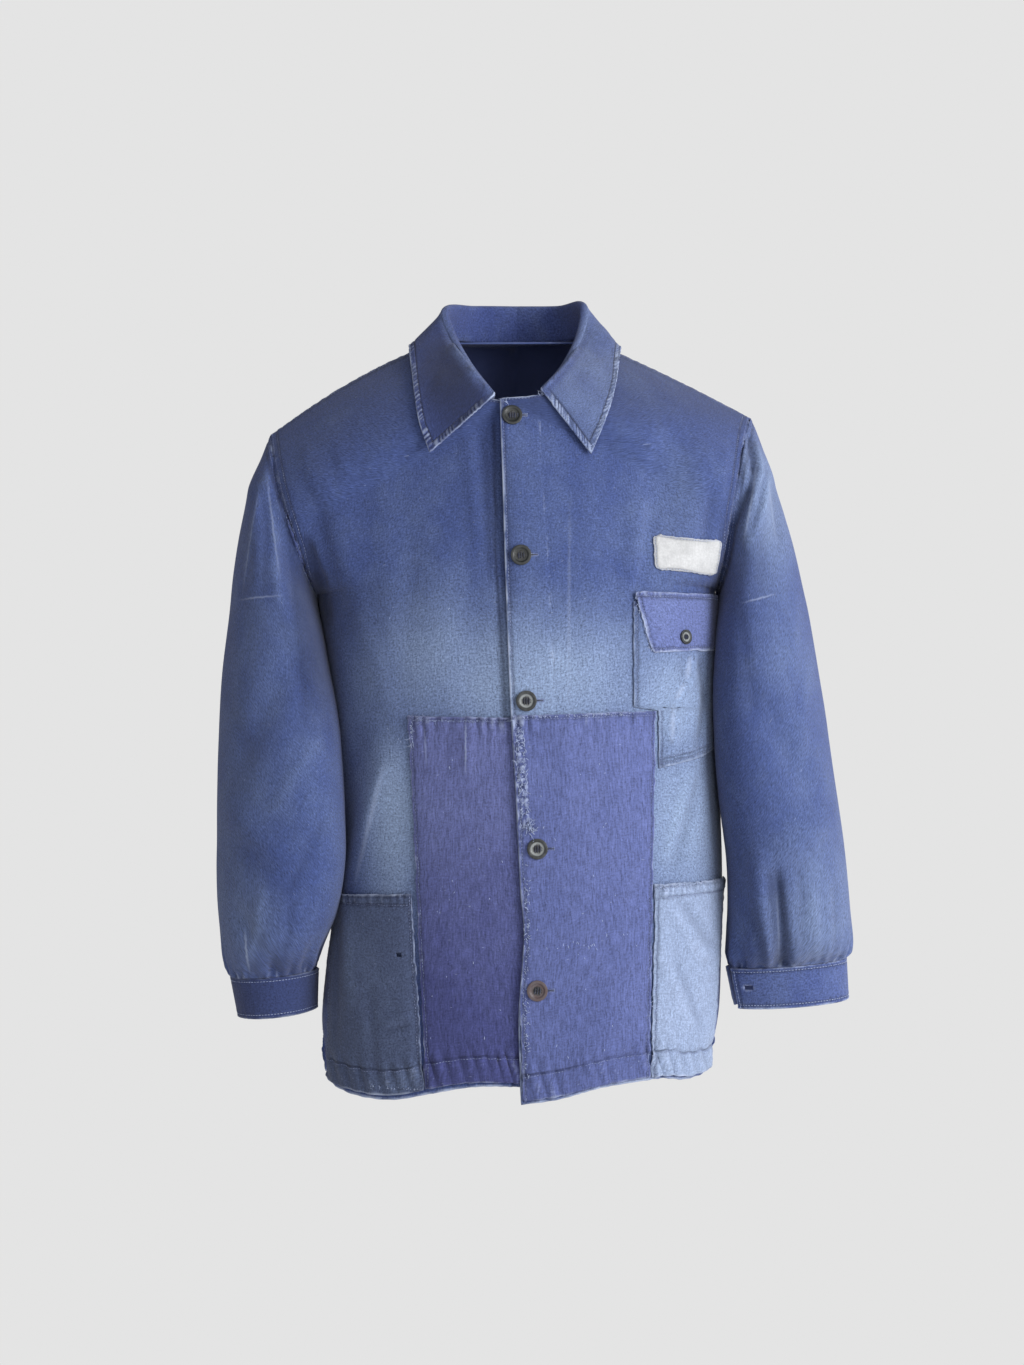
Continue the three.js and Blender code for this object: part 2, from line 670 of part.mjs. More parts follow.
// Pieces that lie on a front: their corners in x and z are found on the panel, and their points are
// the panel's points moved out
function findOnFront(side, x, z) {
  let u = clamp(Math.abs(x) / 190, 0, 1) ** 1.2;
  let v = clamp((z + 675) / 700, 0.01, 0.99);
  for (let round = 0; round < 30; round += 1) {
    const step = 1e-4;
    const here = panelPoint(side, -1, u, v);
    const du = panelPoint(side, -1, u + step, v).sub(here).divideScalar(step);
    const dv = panelPoint(side, -1, u, v + step).sub(here).divideScalar(step);
    const det = du.x * dv.z - dv.x * du.z;
    const ex = x - here.x;
    const ez = z - here.z;
    u = clamp(u + clamp((ex * dv.z - dv.x * ez) / det, -0.1, 0.1), 0.001, 0.985);
    v = clamp(v + clamp((du.x * ez - ex * du.z) / det, -0.1, 0.1), 0.001, 0.985);
  }
  return [u, v];
}

// A piece between stations that run up the front, each the x and z of its end nearer the front
// edge and of its far end, with so many steps across and up between one station and the next
function overlay(side, stations, across, ups) {
  const rows = [];
  for (let k = 0; k < stations.length - 1; k += 1) {
    const last = k === stations.length - 2 ? 1 : 0;
    for (let j = 0; j < ups[k] + last; j += 1) {
      const ends = stations[k].map(([x, z], end) => {
        const [xNext, zNext] = stations[k + 1][end];
        return [mix(x, xNext, j / ups[k]), mix(z, zNext, j / ups[k])];
      });
      rows.push(ends.map(([x, z]) => findOnFront(side, x, z)));
    }
  }
  const part = sheet(spaced(0, 1, across), [...rows.keys()], (i, j) => {
    const [a, b] = rows[j];
    return panelPoint(side, -1, mix(a[0], b[0], i), mix(a[1], b[1], i));
  });
  return side === 'left' ? part : flipped(part);
}

// Where each piece that lies on a front starts and ends, from its lowest station to its highest
const places = {
  patchRight: [[[10, -664], [-79, -671]], [[8, -350], [-95, -350]]],
  patchLeft: [[[5, -678], [114, -661]], [[-5, -346], [121, -342]]],
  hipRight: [[[-81.5, -672], [-171, -674]], [[-92.5, -503], [-167, -509]]],
  hipLeft: [[[116.5, -661], [174.5, -663]], [[120.5, -494], [188, -495]]],
  chestPocket: [
    [[124, -392], [179, -374]], [[124, -340.5], [180, -344]],
    [[102, -337], [180, -341]], [[102, -246], [180, -246]],
  ],
  flap: [[[117, -290], [177, -287]], [[102.5, -238], [179.5, -238]]],
  label: [[[121, -217], [178, -220]], [[120, -187], [183, -190]]],
};

// Buttons: a dished disc with four holes, and the button's face, x, y and z, and its slant
const buttonRadius = 9;
const buttonThickness = 3;
const smallButtonRadius = 6.5;

function solidOf(geometry) {
  const plain = geometry.clone();
  plain.deleteAttribute('normal');
  plain.deleteAttribute('uv');
  const merged = mergeVertices(plain, 1e-4);
  const mesh = new wasm.Mesh({
    numProp: 3,
    vertProperties: new Float32Array(merged.attributes.position.array),
    triVerts: new Uint32Array(merged.index.array),
  });
  return new wasm.Manifold(mesh);
}

function geometryOf(solid) {
  const mesh = solid.getMesh();
  const geometry = new THREE.BufferGeometry();
  geometry.setAttribute('position', new THREE.Float32BufferAttribute(mesh.vertProperties, 3));
  geometry.setIndex(Array.from(mesh.triVerts));
  geometry.computeVertexNormals();
  return geometry;
}

function buttonGeometry(radius) {
  const profile = [
    [0, 0], [radius * 0.8, 0], [radius, buttonThickness * 0.45], [radius * 0.92, buttonThickness],
    [radius * 0.7, buttonThickness], [radius * 0.58, buttonThickness * 0.66], [0, buttonThickness * 0.66],
  ].map(([x, y]) => new THREE.Vector2(x, y));
  let button = solidOf(new THREE.LatheGeometry(profile, 10));
  for (const [x, z] of [[1, 1], [1, -1], [-1, 1], [-1, -1]]) {
    const hole = new THREE.CylinderGeometry(radius * 0.1, radius * 0.1, buttonThickness * 3, 4);
    hole.translate(x * radius * 0.2, 0, z * radius * 0.2);
    button = button.subtract(solidOf(hole));
  }
  return geometryOf(button);
}

const jacket = new THREE.Group();

function add(name, geometry, color, roughness = 0.9) {
  const material = new THREE.MeshStandardMaterial({ color, roughness, metalness: 0 });
  const mesh = new THREE.Mesh(geometry, material);
  mesh.name = name;
  jacket.add(mesh);
  return mesh;
}

const colours = {
  body: '#4a5690', patch: '#50568f', patchLight: '#5c66a5', pocketDark: '#465068',
  pocketPale: '#8496bc', cuff: '#454c85', collar: '#42507f', flap: '#6470ad', label: '#e4e1d8',
  button: '#20262a', buttonBrown: '#35281f', buttonGrey: '#6d7078',
};

add('front_right', wall(sheets.frontRight, hemThickness), colours.body);
add('front_left', wall(sheets.frontLeft, hemThickness), colours.body);
add('back', wall(sheets.back, hemThickness), colours.body);
add('sleeve_right', wall(sleeveSheet('right'), cloth), colours.body);
add('sleeve_left', wall(sleeveSheet('left'), cloth), colours.body);
add('cuff_right', wall(cuffSheet('right'), cuffCloth, 0.2), colours.cuff);
add('cuff_left', wall(cuffSheet('left'), cuffCloth, 0.2), colours.cuff);
add('collar', wall(collarSheet(), collarCloth, collarCloth / 2), colours.collar);

const patchRise = layerGap + patchCloth;
const pocketRise = layerGap + pocketCloth;
const flapRise = pocketRise + layerGap + pocketCloth;
const overlays = {
  patch_right: ['right', places.patchRight, patchAcross, [patchUp], patchCloth, patchRise, colours.patch],
  patch_left: ['left', places.patchLeft, patchAcross, [patchUp], patchCloth, patchRise, colours.patchLight],
  hip_pocket_right: ['right', places.hipRight, hipAcross, [hipUp], pocketCloth, pocketRise, colours.pocketDark],
  hip_pocket_left: ['left', places.hipLeft, hipAcross, [hipUp], pocketCloth, pocketRise, colours.pocketPale],
  chest_pocket: ['left', places.chestPocket, chestAcross, chestUps, pocketCloth, pocketRise, colours.body],
  chest_flap: ['left', places.flap, flapAcross, [flapUp], pocketCloth, flapRise, colours.flap],
  label: ['left', places.label, labelAcross, [labelUp], labelCloth, layerGap + labelCloth, colours.label],
};
for (const [name, [side, stations, across, ups, thickness, rise, color]] of Object.entries(overlays)) {
  add(name, wall(overlay(side, stations, across, ups), thickness, rise), color);
}

// The five front buttons, the flap's button and one on each cuff's lower layer
const frontButtons = [[-4.6, -81], [3.2, -206], [7.8, -333], [17.2, -461], [17.1, -583]];
const patchTopButton = 3;
const flapButton = [146, -277];

// A button laid on a surface, at a point of it and facing out along its direction
function addButton(name, point, normal, radius, color) {
  const mesh = add(name, buttonGeometry(radius), color, 0.4);
  mesh.position.copy(point);
  mesh.quaternion.setFromUnitVectors(vec(0, 1, 0), normal);
}

function frontFacing(x, z) {
  const [u, v] = findOnFront('left', x, z);
  const point = panelPoint('left', -1, u, v);
  const up = panelPoint('left', -1, u, v + 0.01).sub(panelPoint('left', -1, u, v - 0.01));
  const across = panelPoint('left', -1, u + 0.03, v).sub(point);
  return { point, normal: across.cross(up).normalize() };
}

frontButtons.forEach(([x, z], i) => {
  const { point, normal } = frontFacing(x, z);
  const height = seamGap + 0.3 + (i >= patchTopButton ? patchRise : 0);
  const color = i === frontButtons.length - 1 ? colours.buttonBrown : colours.button;
  addButton(`button_${i + 1}`, point.addScaledVector(normal, height), normal, buttonRadius, color);
});
const onFlap = frontFacing(...flapButton);
addButton('flap_button', onFlap.point.addScaledVector(onFlap.normal, flapRise + seamGap + 0.4), onFlap.normal,
  smallButtonRadius, colours.buttonGrey);
for (const [side, q] of [['right', 0.975], ['left', 0.06]]) {
  const point = cuffPoint(side, q, 0.5);
  const along = cuffPoint(side, q + 0.01, 0.5).sub(cuffPoint(side, q - 0.01, 0.5));
  const normal = along.cross(vec(0, 0, -outward(side))).normalize();
  addButton(`cuff_button_${side}`, point.addScaledVector(normal, seamGap + 0.25), normal, smallButtonRadius,
    colours.button);
}

export default jacket;
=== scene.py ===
"""The looks of a worn blue cotton work jacket with sewn patches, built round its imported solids.

The frame is in metres: the front faces -Y, the wearer's left is +X, and the origin is the middle of
the neck opening. Cloth is shaped from the same lines as the solids, in millimetres, and is scaled to
metres when its mesh is made.
"""

import math

import bpy
import numpy as np
from bpy.props import FloatProperty, FloatVectorProperty, PointerProperty
from mathutils import Matrix, Vector
from mathutils.kdtree import KDTree


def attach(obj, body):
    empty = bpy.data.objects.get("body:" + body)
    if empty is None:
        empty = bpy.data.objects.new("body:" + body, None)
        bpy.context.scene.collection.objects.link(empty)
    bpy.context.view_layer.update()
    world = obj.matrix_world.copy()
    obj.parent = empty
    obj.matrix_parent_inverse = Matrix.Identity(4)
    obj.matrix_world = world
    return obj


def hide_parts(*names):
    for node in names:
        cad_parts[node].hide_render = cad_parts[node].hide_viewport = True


bl_info = {
    "name": "Worn Work Jacket",
    "version": (1, 0, 0),
    "blender": (4, 5, 0),
    "location": "View3D > Sidebar > Jacket",
    "description": "Builds a worn blue cotton work jacket with sewn patches over its packed solids",
    "category": "Add Mesh",
}

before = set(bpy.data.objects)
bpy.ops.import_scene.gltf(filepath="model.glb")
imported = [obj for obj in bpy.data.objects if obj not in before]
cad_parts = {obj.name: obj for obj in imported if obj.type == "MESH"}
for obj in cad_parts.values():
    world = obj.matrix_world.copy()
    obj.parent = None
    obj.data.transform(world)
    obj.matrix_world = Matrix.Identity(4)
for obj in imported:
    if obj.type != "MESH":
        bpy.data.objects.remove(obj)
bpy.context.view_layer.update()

# The camera is level, and its focal length is so many times the side of its sensor, in millimetres
CAMERA_PLACE = (-0.0046, -1.9, -0.317)
CAMERA_SENSOR, CAMERA_REACH = 36, 2050 / 1365

MM = 0.001
SIDES = ("right", "left")
FRONT, BACK = -1, 1

# Gaps between layers of cloth, in millimetres, as in the solids
SEAM_GAP = 0.3
LAYER_GAP = 1.0

# A panel runs from v = 0 at the hem to v = 1 at the shoulder seam
ARMPIT_ROW = 0.62
FRONT_NECK_ROW = ARMPIT_ROW + (1 - ARMPIT_ROW) * 7 / 14
BACK_NECK_ROW = ARMPIT_ROW + (1 - ARMPIT_ROW) * 10 / 14
COLLAR_END_ROW = 0.87
HEM_LINE_ROW = 0.12
SHOULDER_RISE_ROW = 0.8
VENT_ROW = 0.08

# Each side seam as v, x, y and z
SIDE_SEAMS = {
    "right": [
        (0, -178, 0, -677), (0.07, -180, 0, -627), (0.14, -176, 0, -578), (0.22, -169, 0, -521),
        (0.34, -167, 0, -437), (0.48, -172, 0, -337), (ARMPIT_ROW, -184, 0, -236),
    ],
    "left": [
        (0, 179, 0, -667), (0.07, 186, 0, -618), (0.14, 188, 0, -570), (0.27, 189, 0, -478),
        (0.45, 184, 0, -351), (ARMPIT_ROW, 183, 0, -232),
    ],
}

# Each armhole's guide points from the armpit to the shoulder: x, y in front, y behind and z
ARMHOLES = {
    "right": [(-184, 0, 0, -236), (-183, -78, 72, -238), (-217, -84, 88, -138), (-228, 0, 0, -88)],
    "left": [(183, 0, 0, -232), (181, -78, 72, -232), (196, -84, 88, -116), (216, 0, 0, -72)],
}
NECK_POINTS = {"right": (-73, 0, -1), "left": (72, 0, -2)}

# The free front edges, the necklines and the centre of the back as v, x, y and z
FRONT_EDGES = {
    "left": [
        (0, 4, -131, -681), (0.1, 1.5, -130, -607), (0.2, 6, -128, -534), (0.25, 3, -127, -497),
        (0.36, -1, -124.5, -416), (0.48, -6, -121, -328), (ARMPIT_ROW, -10, -117, -225),
        (0.72, -12.5, -107, -146), (FRONT_NECK_ROW, -15, -88, -66),
    ],
    "right": [
        (0, 33, -125, -668), (0.07, 33.5, -124.2, -620), (0.2, 34, -122.8, -530),
        (0.36, 29, -119.4, -414), (0.48, 24, -115.8, -327), (ARMPIT_ROW, 18, -112, -225),
        (0.72, 14, -100.8, -146), (FRONT_NECK_ROW, 11, -81.6, -67),
    ],
}
NECKLINES = {
    "left": [
        (FRONT_NECK_ROW, -15, -88, -66), (COLLAR_END_ROW, 21, -87, -62), (0.91, 46, -71, -48),
        (0.955, 65, -40, -25), (1, *NECK_POINTS["left"]),
    ],
    "right": [
        (FRONT_NECK_ROW, 11, -81.6, -67), (COLLAR_END_ROW, -21, -84, -66), (0.91, -46, -70, -50),
        (0.955, -66, -40, -26), (1, *NECK_POINTS["right"]),
    ],
}
CENTRE_BACK = [
    (0, -2, 121, -684), (0.2, -1, 113, -540), (0.42, 0, 99, -380), (ARMPIT_ROW, 0, 111, -236),
    (0.76, 0, 113, -132), (0.84, 0, 96, -56), (BACK_NECK_ROW, 0, 60, 5),
]
BACK_NECKLINES = {
    side: [
        (BACK_NECK_ROW, 0, 60, 5), (0.935, neck[0] * 0.55, 49, 5), (0.97, neck[0] * 0.88, 24, 3),
        (1, *neck),
    ]
    for side, neck in NECK_POINTS.items()
}

# How full the body is between its centre line and its side: 2 is an ellipse, 1 a straight line
FULLNESS = [(0, 2.35), (0.4, 2.3), (ARMPIT_ROW, 2.25), (0.8, 1.95), (0.9, 1.55), (1, 1.12)]

# How far the fronts' hem hangs off the line between its ends, and the bow of the shoulder seams
HEM_LINES = {
    "right": [(0, 0), (0.1, 2.8), (0.22, 3.6), (0.34, -2.2), (0.45, -8), (0.58, -7.5), (0.8, -2), (1, 0)],
    "left": [(0, 0), (0.12, 2), (0.25, 7.8), (0.4, 8.6), (0.48, 7.5), (0.6, 1.4), (1, 0)],
}
SHOULDER_RISE = {"right": 8, "left": 2}
PLACKET = {"right": 36, "left": 38}
VENT_OPENING = {"right": 15, "left": 9}

# Each sleeve from the armhole (t = 0) to the cuff (t = 1): its outer and inner line as t, x and z,
# its middle's y, its half depth, and how far its inner side is carried forward
SLEEVES = {
    "right": {
        "outer": [
            (0, -228, -88), (0.05, -236.5, -108), (0.12, -245.5, -138), (0.22, -256, -190),
            (0.34, -263, -252), (0.46, -269.5, -316), (0.58, -272, -385), (0.7, -272, -452),
            (0.82, -271, -514), (0.92, -266, -558), (1, -260, -583),
        ],
        "inner": [
            (0, -184, -236), (0.05, -187, -242), (0.12, -184, -256), (0.22, -175, -286),
            (0.34, -163, -335), (0.46, -157, -385), (0.58, -153.5, -432), (0.7, -153, -478),
            (0.82, -161, -522), (0.92, -176, -557), (1, -184, -577),
        ],
        "middle": [(0, 3), (0.3, -8), (0.5, -22), (0.7, -32), (0.9, -36), (1, -35)],
        "depth": [(0, 62), (0.14, 66), (0.3, 67), (0.5, 66), (0.7, 64), (0.88, 60), (1, 38)],
        "lean": [(0, 0), (0.1, 6), (0.25, 24), (0.45, 34), (0.7, 34), (0.88, 18), (1, 0)],
    },
    "left": {
        "outer": [
            (0, 216, -72), (0.05, 226.5, -96), (0.12, 237.5, -132), (0.22, 252.5, -188),
            (0.34, 267.5, -255), (0.46, 278, -322), (0.58, 287.5, -394), (0.7, 296, -458),
            (0.82, 301.5, -519), (0.92, 302.5, -552), (1, 299, -565.8),
        ],
        "inner": [
            (0, 183, -232), (0.05, 185, -238), (0.12, 183, -250), (0.22, 178, -276),
            (0.34, 175, -322), (0.46, 175.5, -368), (0.58, 180, -420), (0.7, 188, -474),
            (0.82, 190, -524), (0.92, 189, -558), (1, 193, -574.8),
        ],
        "middle": [(0, 3), (0.3, -6), (0.5, -18), (0.7, -28), (0.9, -35), (1, -36)],
        "depth": [(0, 62), (0.14, 66), (0.3, 66), (0.5, 62), (0.7, 58), (0.88, 52), (1, 33)],
        "lean": [(0, 0), (0.1, 8), (0.25, 30), (0.45, 34), (0.7, 20), (0.88, 6), (1, 0)],
    },
}
SLEEVE_CLEARANCE = {"right": 0.4, "left": 5.0}
SLEEVE_TUCK = {"right": 4.0, "left": 1.2}

# Each cuff: x and z of its outer and inner line at its top and bottom, its middle's y, its half
# depth, the degrees where its strip starts and how many it makes, and whether its end stands open
CUFFS = {
    "right": {
        "top": [(-260.5, -584), (-183.5, -578)], "bottom": [(-254, -619), (-184.5, -613)],
        "middle": -35, "depth": 38, "start": 205, "turn": 392, "spread": 0,
    },
    "left": {
        "top": [(299.5, -567), (189.5, -576)], "bottom": [(301.5, -603), (196.5, -611)],
        "middle": -36, "depth": 33, "start": 192, "turn": 322, "spread": 1,
    },
}

# The collar from s = 0 at the centre back to s = 1 at its front end: the top of its roll, and its
# outer edge, as s, x (outwards), y and z. Its t is 0 at the neck seam and 1 at its outer edge.
SHOULDER_SEAM_ON_COLLAR = 0.42
COLLAR_STAND_TURN, COLLAR_ROLL_TURN = 0.3, 0.45
COLLAR_FRONT = 0.86
COLLAR_STITCH = 6.2
COLLARS = {
    "right": {
        "roll": [
            (0, 0, 62, 42), (0.2, 40, 49, 40), (0.42, 66, 4, 31), (0.6, 59, -18, 3),
            (0.8, 41, -52, -31), (1, 20.5, -86, -61),
        ],
        "edge": [
            (0, 0, 88, -12), (0.2, 57, 68, -10), (0.42, 95, 16, -7), (0.53, 99, -14, -8),
            (0.7, 92, -56, -52), (0.86, 85, -80, -90), (1, 77, -93, -114),
        ],
    },
    "left": {
        "roll": [
            (0, 0, 62, 42), (0.2, 39, 49, 40), (0.42, 61, 4, 35), (0.6, 58, -18, 5),
            (0.8, 41, -52, -31), (1, 21.5, -87, -57),
        ],
        "edge": [
            (0, 0, 88, -12), (0.2, 55, 68, -10), (0.42, 91, 16, -8), (0.53, 95, -14, -10),
            (0.7, 84, -56, -60), (0.86, 75, -80, -90), (1, 65, -93, -115),
        ],
    },
}

# Folds by part and face: from x and z, to x and z, half width and height (a trough is below 0). The
# first of each list are the solids' own, and the finer ones after them are added. So are the folds of
# a sleeve's head ("head"), and the lines beside an armhole that are only painted shade ("deep").
FOLDS = {
    ("body", FRONT): [
        (148, -98, 126, -175, 16, -4.5), (170, -110, 146, -215, 14, 3.5), (-165, -110, -150, -230, 16, 3),
        (-188, -150, -158, -262, 12, -3.5), (-118, -385, -150, -500, 16, 3.5),
        (-146, -370, -160, -470, 14, -3.5), (150, -300, 160, -460, 16, 3), (186, -104, 178, -150, 7, 2.2),
        (-191, -192, -180, -224, 5, -4.5), (-180, -224, -174, -262, 5, -5),
        (172, -150, 168, -196, 6, -1.8), (-31, -100, -25, -225, 5, -2.0), (-44, -96, -34, -190, 7, 1.8),
        (-12, -110, -8, -250, 6, -1.6), (-168, -112, -156, -152, 7, -2.2),
        (-190, -105, -180, -142, 8, 2.0), (155, -292, 150, -316, 4, 2.4), (150, -316, 139, -332, 4, 2.4),
        (139, -332, 136, -372, 4.5, 2.4), (145, -296, 142, -316, 4, -1.4),
        (161, -294, 165, -330, 4.5, -2.8), (165, -330, 158, -374, 4.5, -2.8),
        (136, -98, 112, -150, 8, -2.0), (108, -160, 100, -232, 8, 1.8),
        (-117, -624, -96, -617, 2.4, -1.5), (-114, -616, -95, -609, 3.4, 1.4),
        (-60, -352, -62, -384, 3.0, -1.0), (124, -150, 108, -232, 7, -1.8),
        (160, -230, 176, -300, 8, 1.2), (-120, -140, -112, -260, 12, 1.3),
        (-70, -200, -64, -330, 14, 1.1), (-96, -180, -100, -330, 10, -1.0),
        (-42, -130, -36, -330, 12, -0.8), (-140, -250, -112, -340, 9, 1.2),
        (-118, -392, -136, -452, 5, 1.6), (60, -120, 66, -320, 14, 0.9), (92, -150, 84, -300, 12, -0.9),
        (-44, -350, -42, -396, 4, 1.6), (40, -352, 44, -420, 7, 1.0), (86, -350, 82, -430, 8, 0.9),
        (96, -560, 60, -660, 14, 1.6), (-60, -560, -30, -660, 16, 1.4), (-150, -520, -130, -640, 12, 1.4),
        (150, -520, 168, -640, 12, 1.4), (134, -517, 162, -560, 5, 2.2),
        (142, -510, 170, -552, 4.5, -2.0), (125, -550, 148, -616, 6, 1.8),
        (135, -560, 160, -622, 5, -1.8), (152, -400, 129, -470, 5, 2.0), (161, -400, 140, -480, 5, -1.8),
        (-149, -520, -147, -600, 6, 1.8), (-129, -590, -124, -650, 5, -1.6),
        (-158, -530, -160, -640, 5, -1.6),
    ],
    ("body", BACK): [
        (-150, -120, -95, -250, 18, -4.5), (148, -110, 95, -250, 18, -4.5), (-60, -300, -95, -660, 24, 5),
        (70, -300, 100, -660, 24, 5), (5, -380, 0, -670, 26, -4), (-30, -60, -60, -200, 14, 1.6),
        (34, -60, 62, -190, 14, 1.5), (-130, -260, -120, -420, 12, 1.8), (132, -250, 120, -420, 12, 1.6),
        (30, -300, 44, -520, 12, -1.6), (-28, -320, -40, -560, 10, -1.4),
        (-150, -440, -140, -640, 12, -1.8), (150, -430, 144, -640, 12, -1.6),
    ],
    ("right", FRONT): [
        (-240, -120, -226, -215, 10, 4), (-222, -130, -206, -230, 10, -4),
        (-200, -300, -250, -400, 14, -3.5), (-252, -430, -205, -470, 14, 4),
        (-245, -520, -215, -575, 10, -4), (-262, -200, -246, -300, 7, 1.2),
        (-210, -260, -186, -330, 6, -1.4), (-176, -370, -214, -430, 6, 1.3),
        (-170, -440, -200, -500, 6, -1.4), (-258, -330, -238, -380, 6, -1.0),
        (-222, -500, -236, -560, 5, 1.5), (-196, -510, -206, -572, 4, -1.5),
    ],
    ("right", BACK): [
        (-205, -330, -262, -370, 15, -5), (-200, -430, -260, -400, 15, 4), (-240, -150, -230, -260, 9, 2),
        (-215, -480, -232, -570, 6, -2), (-250, -460, -246, -560, 6, 1.6),
        (-190, -360, -240, -440, 7, 1.5),
    ],
    ("left", FRONT): [
        (209, -98, 206, -160, 9, -5), (226, -105, 211, -190, 10, 4), (238, -140, 222, -240, 10, -3),
        (208, -330, 262, -420, 14, -3.5), (275, -440, 225, -470, 14, 3.5), (211, -470, 222, -572, 9, 5),
        (227, -488, 236, -574, 5, -7), (252, -180, 246, -300, 8, 1.4), (196, -250, 206, -340, 6, -1.3),
        (262, -300, 250, -380, 6, 1.0), (260, -500, 266, -562, 5, 1.5), (282, -500, 284, -562, 4, -1.3),
        (248, -480, 252, -560, 4, -1.2), (220, -486, 230, -572, 2.4, -2.6),
        (208, -520, 222, -572, 5, -2.4),
    ],
    ("left", BACK): [
        (200, -340, 275, -375, 15, -5), (205, -440, 280, -405, 15, 4), (240, -150, 236, -260, 9, 2),
        (232, -480, 246, -565, 6, -2), (280, -460, 284, -560, 6, 1.6), (200, -360, 256, -440, 7, 1.5),
    ],
    ("right deep", FRONT): [(-188, -190, -179, -224, 6, 1), (-179, -224, -173, -264, 7, 1)],
    ("left deep", FRONT): [(187, -170, 181, -226, 5, 0.7)],
    ("right head", FRONT): [
        (-228, -128, -217, -190, 3.5, 2.4), (-217, -190, -212, -244, 4, 2.2),
        (-231, -136, -245, -224, 3.5, 2.0), (-236, -150, -246, -236, 5, -1.4),
        (-220, -120, -207, -170, 4, -3.6), (-224, -150, -226, -236, 5, -1.8),
        (-215, -158, -199, -180, 4, 2.6), (-199, -180, -192, -206, 4, 3.2),
        (-206, -190, -196, -250, 6, -2.0),
    ],
    ("right head", BACK): [(-222, -118, -206, -200, 6, -2.5), (-232, -120, -224, -220, 6, 2.2)],
    ("left head", FRONT): [
        (205, -104, 206, -138, 4.5, 3.2), (213, -92, 213, -122, 3, -4.2), (213, -122, 206, -146, 3, -4.4),
        (206, -146, 192, -176, 4, -4.4), (192, -176, 186, -216, 4, -2.8),
        (217, -100, 220, -127, 3.5, 2.8), (220, -127, 212, -154, 3.5, 3.2),
        (212, -154, 203, -188, 4.5, 2.8), (225, -124, 217, -152, 3, -2.0),
        (217, -152, 209, -184, 3, -1.6), (227, -130, 221, -158, 3, 2.2), (221, -158, 205, -196, 3.5, 2.0),
        (233, -140, 236, -190, 6, -1.6), (222, -180, 214, -236, 7, -1.6),
    ],
    ("left head", BACK): [(212, -108, 200, -190, 6, -2.5), (224, -112, 216, -210, 6, 2.2)],
}

# The gathers of a sleeve above its cuff: how many, how high, and how far up they reach
GATHER_WAVES, GATHER_HEIGHT, GATHER_RISE = 9, 2.2, 0.16

# Pieces that lie on a front, from their lowest station to their highest: x and z of the end nearer
# the front edge, then of the far end
PLACES = {
    "patch_right": ("right", [[(10, -664), (-79, -671)], [(8, -348), (-95, -346.5)]]),
    "patch_left": ("left", [[(5, -678), (114, -661)], [(-5, -346), (121, -342)]]),
    "hip_pocket_right": ("right", [[(-81.5, -672), (-171, -674)], [(-92.5, -503), (-167, -509)]]),
    "hip_pocket_left": ("left", [[(116.5, -661), (174.5, -663)], [(120.5, -494), (188, -495)]]),
    "chest_pocket": ("left", [
        [(124, -392), (179, -374)], [(124, -340.5), (180, -344)],
        [(102, -337), (180, -341)], [(102, -246), (180, -246)],
    ]),
    "chest_flap": ("left", [[(117, -290), (177, -287)], [(102.5, -238), (179.5, -238)]]),
    "label": ("left", [[(121, -217), (178, -220)], [(120, -187), (183, -190)]]),
}

# Thicknesses of cloth, and how far what lies on a front stands off it
PATCH_CLOTH, POCKET_CLOTH, LABEL_CLOTH = 1.2, 1.3, 1.0
BODY_CLOTH, HEM_CLOTH, CUFF_CLOTH, COLLAR_CLOTH = 1.6, 2.6, 2.4, 2.0
CUFF_RISE = 0.2
PATCH_RISE = LAYER_GAP + PATCH_CLOTH
POCKET_RISE = LAYER_GAP + POCKET_CLOTH
FLAP_RISE = POCKET_RISE + LAYER_GAP + POCKET_CLOTH
RISES = {
    "patch_right": PATCH_RISE, "patch_left": PATCH_RISE, "hip_pocket_right": POCKET_RISE,
    "hip_pocket_left": POCKET_RISE, "chest_pocket": POCKET_RISE, "chest_flap": FLAP_RISE,
    "label": LAYER_GAP + LABEL_CLOTH,
}
ALL_EDGES = ("start", "end", "bottom", "top")

# Shared by the fronts and what lies on them, so that their hems rope together
HEM_SEED = 31

# Frayed places: piece, x and z from and to, half width of the band, heading, number and length
FRAYS = [
    ("patch_left", 1, -352, 7, -440, 4.5, (0.2, 0, 0.1), 190, 5.0),
    ("patch_left", 4, -440, 14, -446, 3.5, (1.0, 0, 0.1), 34, 8.0),
    ("patch_left", 8, -470, 8, -660, 2.5, (0.3, 0, 0.2), 110, 3.2),
    ("patch_right", -93, -349, -80, -350, 2.4, (0.6, 0, 0.3), 60, 6.5),
    ("patch_right", -94, -352, -93, -372, 1.4, (0.3, 0, -0.8), 22, 6.0),
    ("front_left", -13, -68, -8, -71, 1.2, (0.4, 0, -0.7), 9, 7.0),
    ("front_left", 17, -63, 26, -60, 1.0, (0.2, 0, 1.0), 10, 4.5),
    ("patch_right", -74, -351, -6, -351, 1.0, (0.6, 0, 0.7), 90, 3.4),
    ("patch_left", 0, -348, 118, -344, 0.9, (0.5, 0, 0.8), 80, 2.6),
    ("hip_pocket_left", 121, -496, 184, -496, 2.2, (0.7, 0, 0.5), 130, 4.2),
    ("hip_pocket_left", 121, -580, 119, -655, 2.6, (0.3, 0, -0.5), 60, 3.6),
    ("hip_pocket_left", 120, -658, 172, -659, 1.6, (0.3, 0, -1.0), 60, 3.2),
    ("chest_flap", 104, -240, 117, -289, 1.0, (-0.7, 0, 0.2), 46, 2.6),
    ("hip_pocket_right", -170, -672, -84, -671, 1.2, (0.2, 0, -1.0), 50, 2.4),
]

